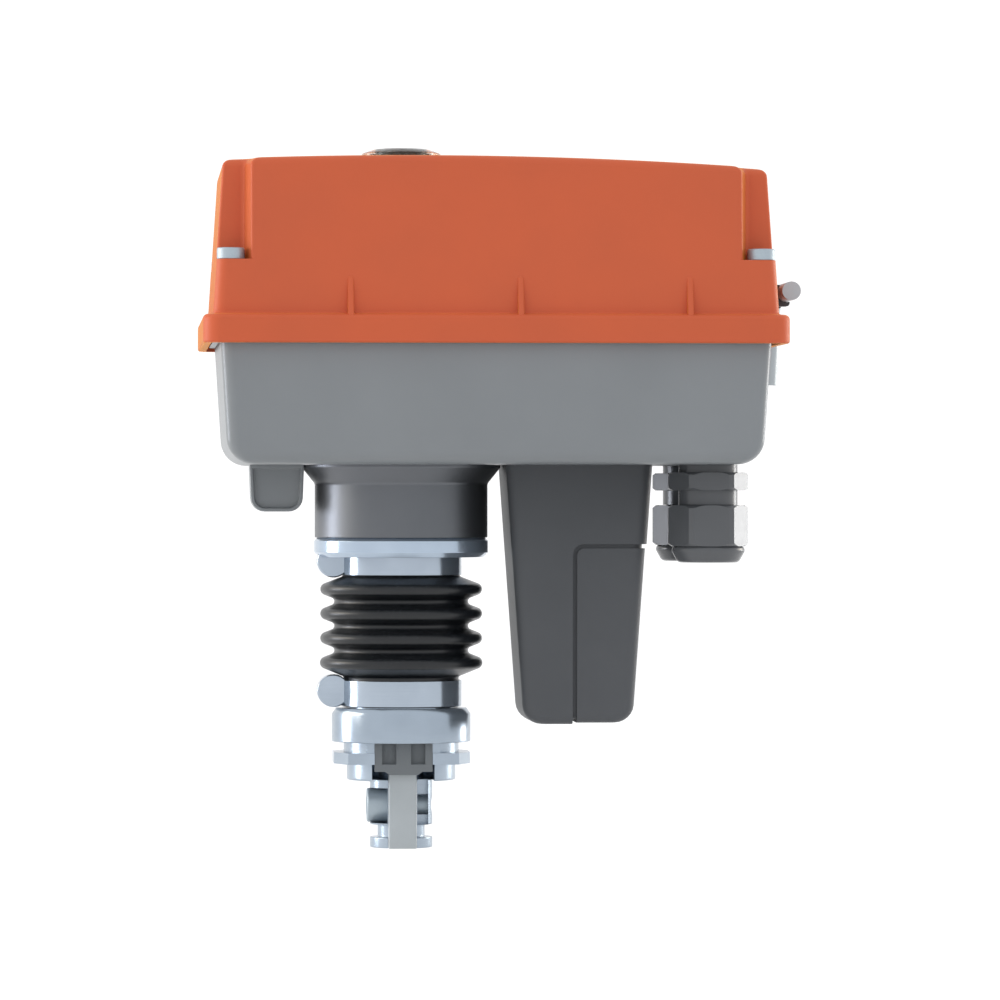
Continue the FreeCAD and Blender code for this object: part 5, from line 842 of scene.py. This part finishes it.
FINISHES = {
    # Cover: glass-filled polyester, moulded. A satin skin, whose fine fibres turn its edges yellow.
    "orange_shell": moulded("cover_orange_moulded_polyester", "#cd603d", "#c75e3d", (0.42, 0.5), 0.45,
                            0.008, specular=0.2, sheen=0.65, sheen_tint="#ffb640"),
    # Case: die-cast aluminium, powder coated. Even mid grey, with long soft highlights at its corners.
    "case_grey": coated("case_powder_coated_aluminium", "#83878a", "#7e8285", (0.3, 0.38)),
    # Neck: cast iron, turned, under a thin dark lacquer. Deep grey, the metal still mirrors broadly.
    "neck_dark": coated("neck_lacquered_cast_iron", "#6c6e72", "#66696d", (0.34, 0.4), 3.0, 0.0,
                        metallic=0.9),
    # Flange: steel, turned and zinc plated with a blue passivation. Crisp upright bands of light.
    "flange_steel": worked("flange_blue_zinc_turned_steel", "#b9c7d6", "#aab8c8", (0.14, 0.2),
                           metallic=0.8),
    # Clamps: stainless strip, brushed lengthways. Crisp bands, a little cooler than the stem.
    "clamp_steel": worked("clamp_brushed_stainless", "#b4bfcb", "#a3aeba", (0.14, 0.2), (12.0, 12.0, 0.12),
                          metallic=0.8),
    # Stem head, fork, collar and adapter: steel, turned and zinc plated. Blue-grey with white bands.
    "head_steel": worked("stem_zinc_plated_turned_steel", "#acb8c4", "#9da9b5", (0.19, 0.25),
                         (14.0, 14.0, 0.14), metallic=0.8),
    # Stop between the fork's arms: sintered steel. Dull mid grey, faintly porous.
    "latch_grey": coated("stop_sintered_steel", "#74797c", "#6c7073", (0.45, 0.58), 0.6, 0.02,
                         specular=0.3),
    # Motor housing: die-cast zinc, powder coated dark. Near black grey, low gloss.
    "box_dark": coated("motor_housing_powder_coated_zinc", "#57595c", "#525457", (0.42, 0.5), 1.1, 0.01,
                       specular=0.2),
    # Cable glands: polyamide from a polished mould. Dark facets that mirror light as one, with only
    # a 2.5 mm ripple in place of the grain.
    "gland_dark": moulded("gland_moulded_polyamide", "#56585b", "#505255", (0.25, 0.27), 2.5, 0.0004),
    # Bellows: nitrile rubber, moulded. Blue-black, with thin lines of light in its valleys.
    # Its pale specks on upward faces are partly talc and partly a painted highlight.
    "bellows_rubber": rubber("bellows_moulded_nitrile_rubber", "#121519", "#8c9196", (0.3, 0.38)),
    # Cover screws and cross bolt: steel, cold headed, bright zinc. Plain light grey.
    "screw_zinc": worked("screw_bright_zinc_steel", "#b2bec6", "#a5b1b9", (0.42, 0.5), (0.6, 0.6, 0.6),
                         0.0005, metallic=0.5),
    # Crank and lock bar: steel, drawn and zinc plated. Plain grey, faint lines along the bar.
    "crank_steel": worked("crank_drawn_zinc_steel", "#b4babd", "#a9afb2", (0.42, 0.5),
                          (0.2, 6.0, 0.2), 0.002, metallic=0.7),
    # Crank's cradles: nylon, moulded. Soft black.
    "clip_dark": moulded("cradle_moulded_nylon", "#3a3b3d", "#333436", (0.4, 0.5), 0.4, 0.01),
    # Cover's gasket: cellular rubber sheet. Matt black, with pale specks on its upward faces, partly talc
    # and partly painted highlight.
    "seal_rubber": rubber("gasket_cut_rubber_sheet", "#1d1e20", "#5d6062", (0.55, 0.7)),
    # Position dial: polycarbonate film, screen printed. Dull dark brown.
    "disc_dark": moulded("dial_printed_polycarbonate", "#45413a", "#3d3a34", (0.4, 0.5), 0.3, 0.004),
    # Light gears and bearings: acetal, moulded. Milky white with a waxy gloss.
    "gear_nylon": moulded("gear_moulded_acetal", "#e4e1d3", "#dcd9ca", (0.3, 0.4), 0.5, 0.006),
    # Heavy gears: steel, hobbed and oiled. Dark grey, wet highlights across the teeth.
    "gear_steel": worked("gear_oiled_hobbed_steel", "#8f9296", "#7a7d80", (0.22, 0.36),
                         (0.17, 0.17, 2.5), 0.006),
    # Spindle and axles: steel, ground. Bright and fine.
    "spindle_steel": worked("spindle_ground_steel", "#c2c7cb", "#b0b6bb", (0.14, 0.24),
                            (10.0, 10.0, 0.07), 0.003),
    # Gear plates: steel sheet, galvanised. Flat grey with a 6 mm spangle.
    "plate_steel": worked("plate_galvanised_sheet", "#b4b9bd", "#9ba1a6", (0.3, 0.45), (3.0, 3.0, 3.0),
                          0.004, 6.0),
    # Drive nut and bush: bronze, turned. Warm gold-brown.
    "bronze": worked("nut_turned_bronze", "#c09350", "#a67d40", (0.22, 0.34), (10.0, 10.0, 0.1), 0.004),
    # Motor can: steel, drawn and stove enamelled. Black with soft highlights.
    "motor_can": coated("motor_can_enamelled_steel", "#2b2c2e", "#252628", (0.36, 0.46), 0.8, 0.01),
    # Component bodies: epoxy, moulded. Matt black.
    "component_black": moulded("component_moulded_epoxy", "#26272a", "#202124", (0.45, 0.6), 0.3, 0.01),
    # Terminals: polyamide, moulded. Mid green, satin.
    "terminal_green": moulded("terminal_moulded_polyamide", "#3f8a63", "#387f5a", (0.32, 0.42), 0.4, 0.006),
    # Circuit board: glass fibre, solder masked. Glossy green with paler tracks.
    "board_green": printed_board("board_solder_masked_glass_fibre"),
    # Position dial's window: clear polycarbonate. Nearly unseen but for its glints.
    "lens_clear": clear("lens_clear_polycarbonate"),
}


# Pieces
def dress(obj, slot_name):
    obj.data.materials.clear()
    obj.data.materials.append(FINISHES[slot_name])
    return obj


def fit(obj, body, slot_name, *nodes):
    """Gives a piece its finish, the body it moves with, and the solids it stands for."""
    dress(obj, slot_name)
    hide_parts(*nodes)
    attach(obj, body)


for part in frame["record"]["subparts"]:
    solid = frame["nodes"][part["node"]]
    for holder in solid.material_slots:
        holder.material = FINISHES[part["material_slot"]]

fit(build_cover(), "cover_set", "orange_shell", "cover")
fit(build_tub(), "housing", "case_grey", "base_case")
fit(build_neck(), "housing", "neck_dark", "neck")
fit(build_flange(), "housing", "flange_steel", "mounting_flange")
fit(join(build_band("upper_band", FLANGE_LOW + 2.4), build_barrel("upper_eye", FLANGE_LOW - 1.25)),
    "housing", "clamp_steel", "upper_clamp_band", "upper_clamp_screw")
fit(join(build_band("lower_band", FLANGE_LOW - 38.4), build_barrel("lower_eye", FLANGE_LOW - 41.6)),
    "stem_set", "clamp_steel", "lower_clamp_band", "lower_clamp_screw")
fit(build_motor_box(), "housing", "box_dark", "motor_housing")
for side, y in (("front", -GLAND_Y), ("rear", GLAND_Y)):
    fit(build_gland_body("gland_collar_" + side, y), "housing", "gland_dark", "gland_body_" + side)
    fit(build_gland_cap("gland_nut_" + side, y), "housing", "gland_dark", "gland_cap_" + side)
screws = [build_cover_screw("corner_screw", i, j) for i, j in CORNERS]
fit(join(*screws), "cover_set", "screw_zinc", "cover_screws")
fit(build_crank(), "crank", "crank_steel", "hand_crank")
fit(join(build_cradle("cradles", -12.0), build_cradle("cradle_back", 10.0)),
    "cover_set", "clip_dark", "crank_clips")
fit(build_lens(), "cover_set", "lens_clear", "indicator_lens")
fit(build_disc(), "indicator_set", "disc_dark", "indicator_disc")
fit(build_head(), "stem_set", "head_steel", "stem_head")
fit(build_fork(), "stem_set", "head_steel", "fork_plate")
fit(build_latch(), "stem_set", "latch_grey", "latch_block")
fit(build_collar(), "stem_set", "head_steel", "fork_collar")
fit(build_adapter(), "stem_set", "head_steel", "stem_adapter")
fit(build_bar(), "stem_set", "crank_steel", "lock_bar")
fit(build_cross_bolt(), "stem_set", "screw_zinc", "clamp_bolt")
fit(build_cross_nut(), "stem_set", "screw_zinc", "clamp_nut")

sleeve = dress(build_bellows(), "bellows_rubber")
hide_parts("bellows")
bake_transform(sleeve)


# Studio: white floor just clear of the stem's travel, white backdrop, soft light from both sides
YAW = math.radians(3.8)
RIGHT = Vector((math.cos(YAW), -math.sin(YAW), 0))
FORWARD = Vector((math.sin(YAW), math.cos(YAW), 0))
STAGE_SIDE, STAGE_FRONT, STAGE_BACK, STAGE_TOP = 4000, -3500, 3200, 3000
STAGE_LOW = ADAPTER_LOW - STEM_TRAVEL - 0.4
ALL_WHITE = 1.12  # own light and card together, with a little over


def bright_sheet(name, own_light):
    """White card: the given share of its white is its own light for what sees it, and the rest, with a
    little over so that its far end stays white, is matt card that takes the object's shadow."""
    material, tree, _ = blank(name)
    seen = 0.0
    for ray in ("Is Camera Ray", "Is Transmission Ray", "Is Glossy Ray"):
        path = add(tree, "ShaderNodeLightPath", {}, ray)
        seen = add(tree, "ShaderNodeMath", {0: path, 1: seen}, operation="MAXIMUM")
    rest = ALL_WHITE - own_light
    plain = add(tree, "ShaderNodeBsdfDiffuse", {"Color": (0.8, 0.8, 0.8, 1)})
    card = add(tree, "ShaderNodeBsdfDiffuse", {"Color": (rest, rest, rest, 1)})
    glow = add(tree, "ShaderNodeEmission", {"Color": (1, 1, 1, 1), "Strength": own_light})
    white = add(tree, "ShaderNodeAddShader", {0: card, 1: glow})
    both = add(tree, "ShaderNodeMixShader", {"Fac": seen, 1: plain, 2: white})
    add(tree, "ShaderNodeOutputMaterial", {"Surface": both})
    return material


def stage_sheet(name, corners, material):
    obj = make(name, corners, [tuple(range(len(corners)))])
    obj.data.materials.append(material)


def lamp(name, place, target, size, power, colour="#ffffff"):
    """Area light at a place given as (right, forward, up) in millimetres from the origin."""
    data = bpy.data.lights.new(name, "AREA")
    data.shape = "RECTANGLE"
    data.size, data.size_y = size[0] * MM, size[1] * MM
    data.energy = power
    data.color = tone(colour)[:3]
    obj = put(name, data)
    spot = RIGHT * place[0] + FORWARD * place[1] + Vector((0, 0, place[2]))
    aim = RIGHT * target[0] + FORWARD * target[1] + Vector((0, 0, target[2]))
    obj.location = spot * MM
    obj.rotation_euler = (aim - spot).to_track_quat("-Z", "Y").to_euler()
    obj.visible_camera = False


floor = [(x, y, STAGE_LOW) for x, y in rect(-STAGE_SIDE, STAGE_SIDE, STAGE_FRONT, STAGE_BACK)]
stage_sheet("floor", floor, bright_sheet("floor_card", 0.62))
backdrop = [(x, STAGE_BACK, z) for x, z in rect(-STAGE_SIDE, STAGE_SIDE, STAGE_LOW, STAGE_TOP)]
stage_sheet("backdrop", backdrop, bright_sheet("backdrop_card", 1.0))

lamp("left_strip", (-1262, 268, -170), (0, 0, -20), (400, 560), 8.2, "#eef3ff")
lamp("left_high", (-1100, 60, 290), (-40, 0, 95), (900, 300), 4.6, "#fff6e6")
lamp("right_strip", (1092, 794, -200), (50, 0, -20), (380, 560), 4.9)
lamp("right_high", (1140, 660, 270), (60, 0, 80), (560, 320), 4.2, "#fff6e6")

world = bpy.data.worlds.new("studio")
bpy.context.scene.world = world
world.use_nodes = True
tree = world.node_tree
tree.nodes.clear()
soft = add(tree, "ShaderNodeBackground", {"Color": tone("#f6f8fb"), "Strength": 1.08})
add(tree, "ShaderNodeOutputWorld", {"Surface": soft})

view = bpy.context.scene.view_settings
view.view_transform = "Standard"

# Camera, measured from the photograph: level, and its focal length counted in its pixels
SENSOR, FOCAL_PIXELS, PICTURE_PIXELS = 36, 5760, 1000
DISTANCE, AIM_RIGHT, AIM_UP = 1800, 30.9, 14.75
data = bpy.data.cameras.new("view")
data.sensor_width = SENSOR
data.lens = FOCAL_PIXELS * SENSOR / PICTURE_PIXELS
data.clip_start, data.clip_end = 0.05, 20
camera = put("view", data)
camera.location = (RIGHT * AIM_RIGHT - FORWARD * DISTANCE + Vector((0, 0, AIM_UP))) * MM
camera.rotation_euler = FORWARD.to_track_quat("-Z", "Y").to_euler()
bpy.context.scene.camera = camera
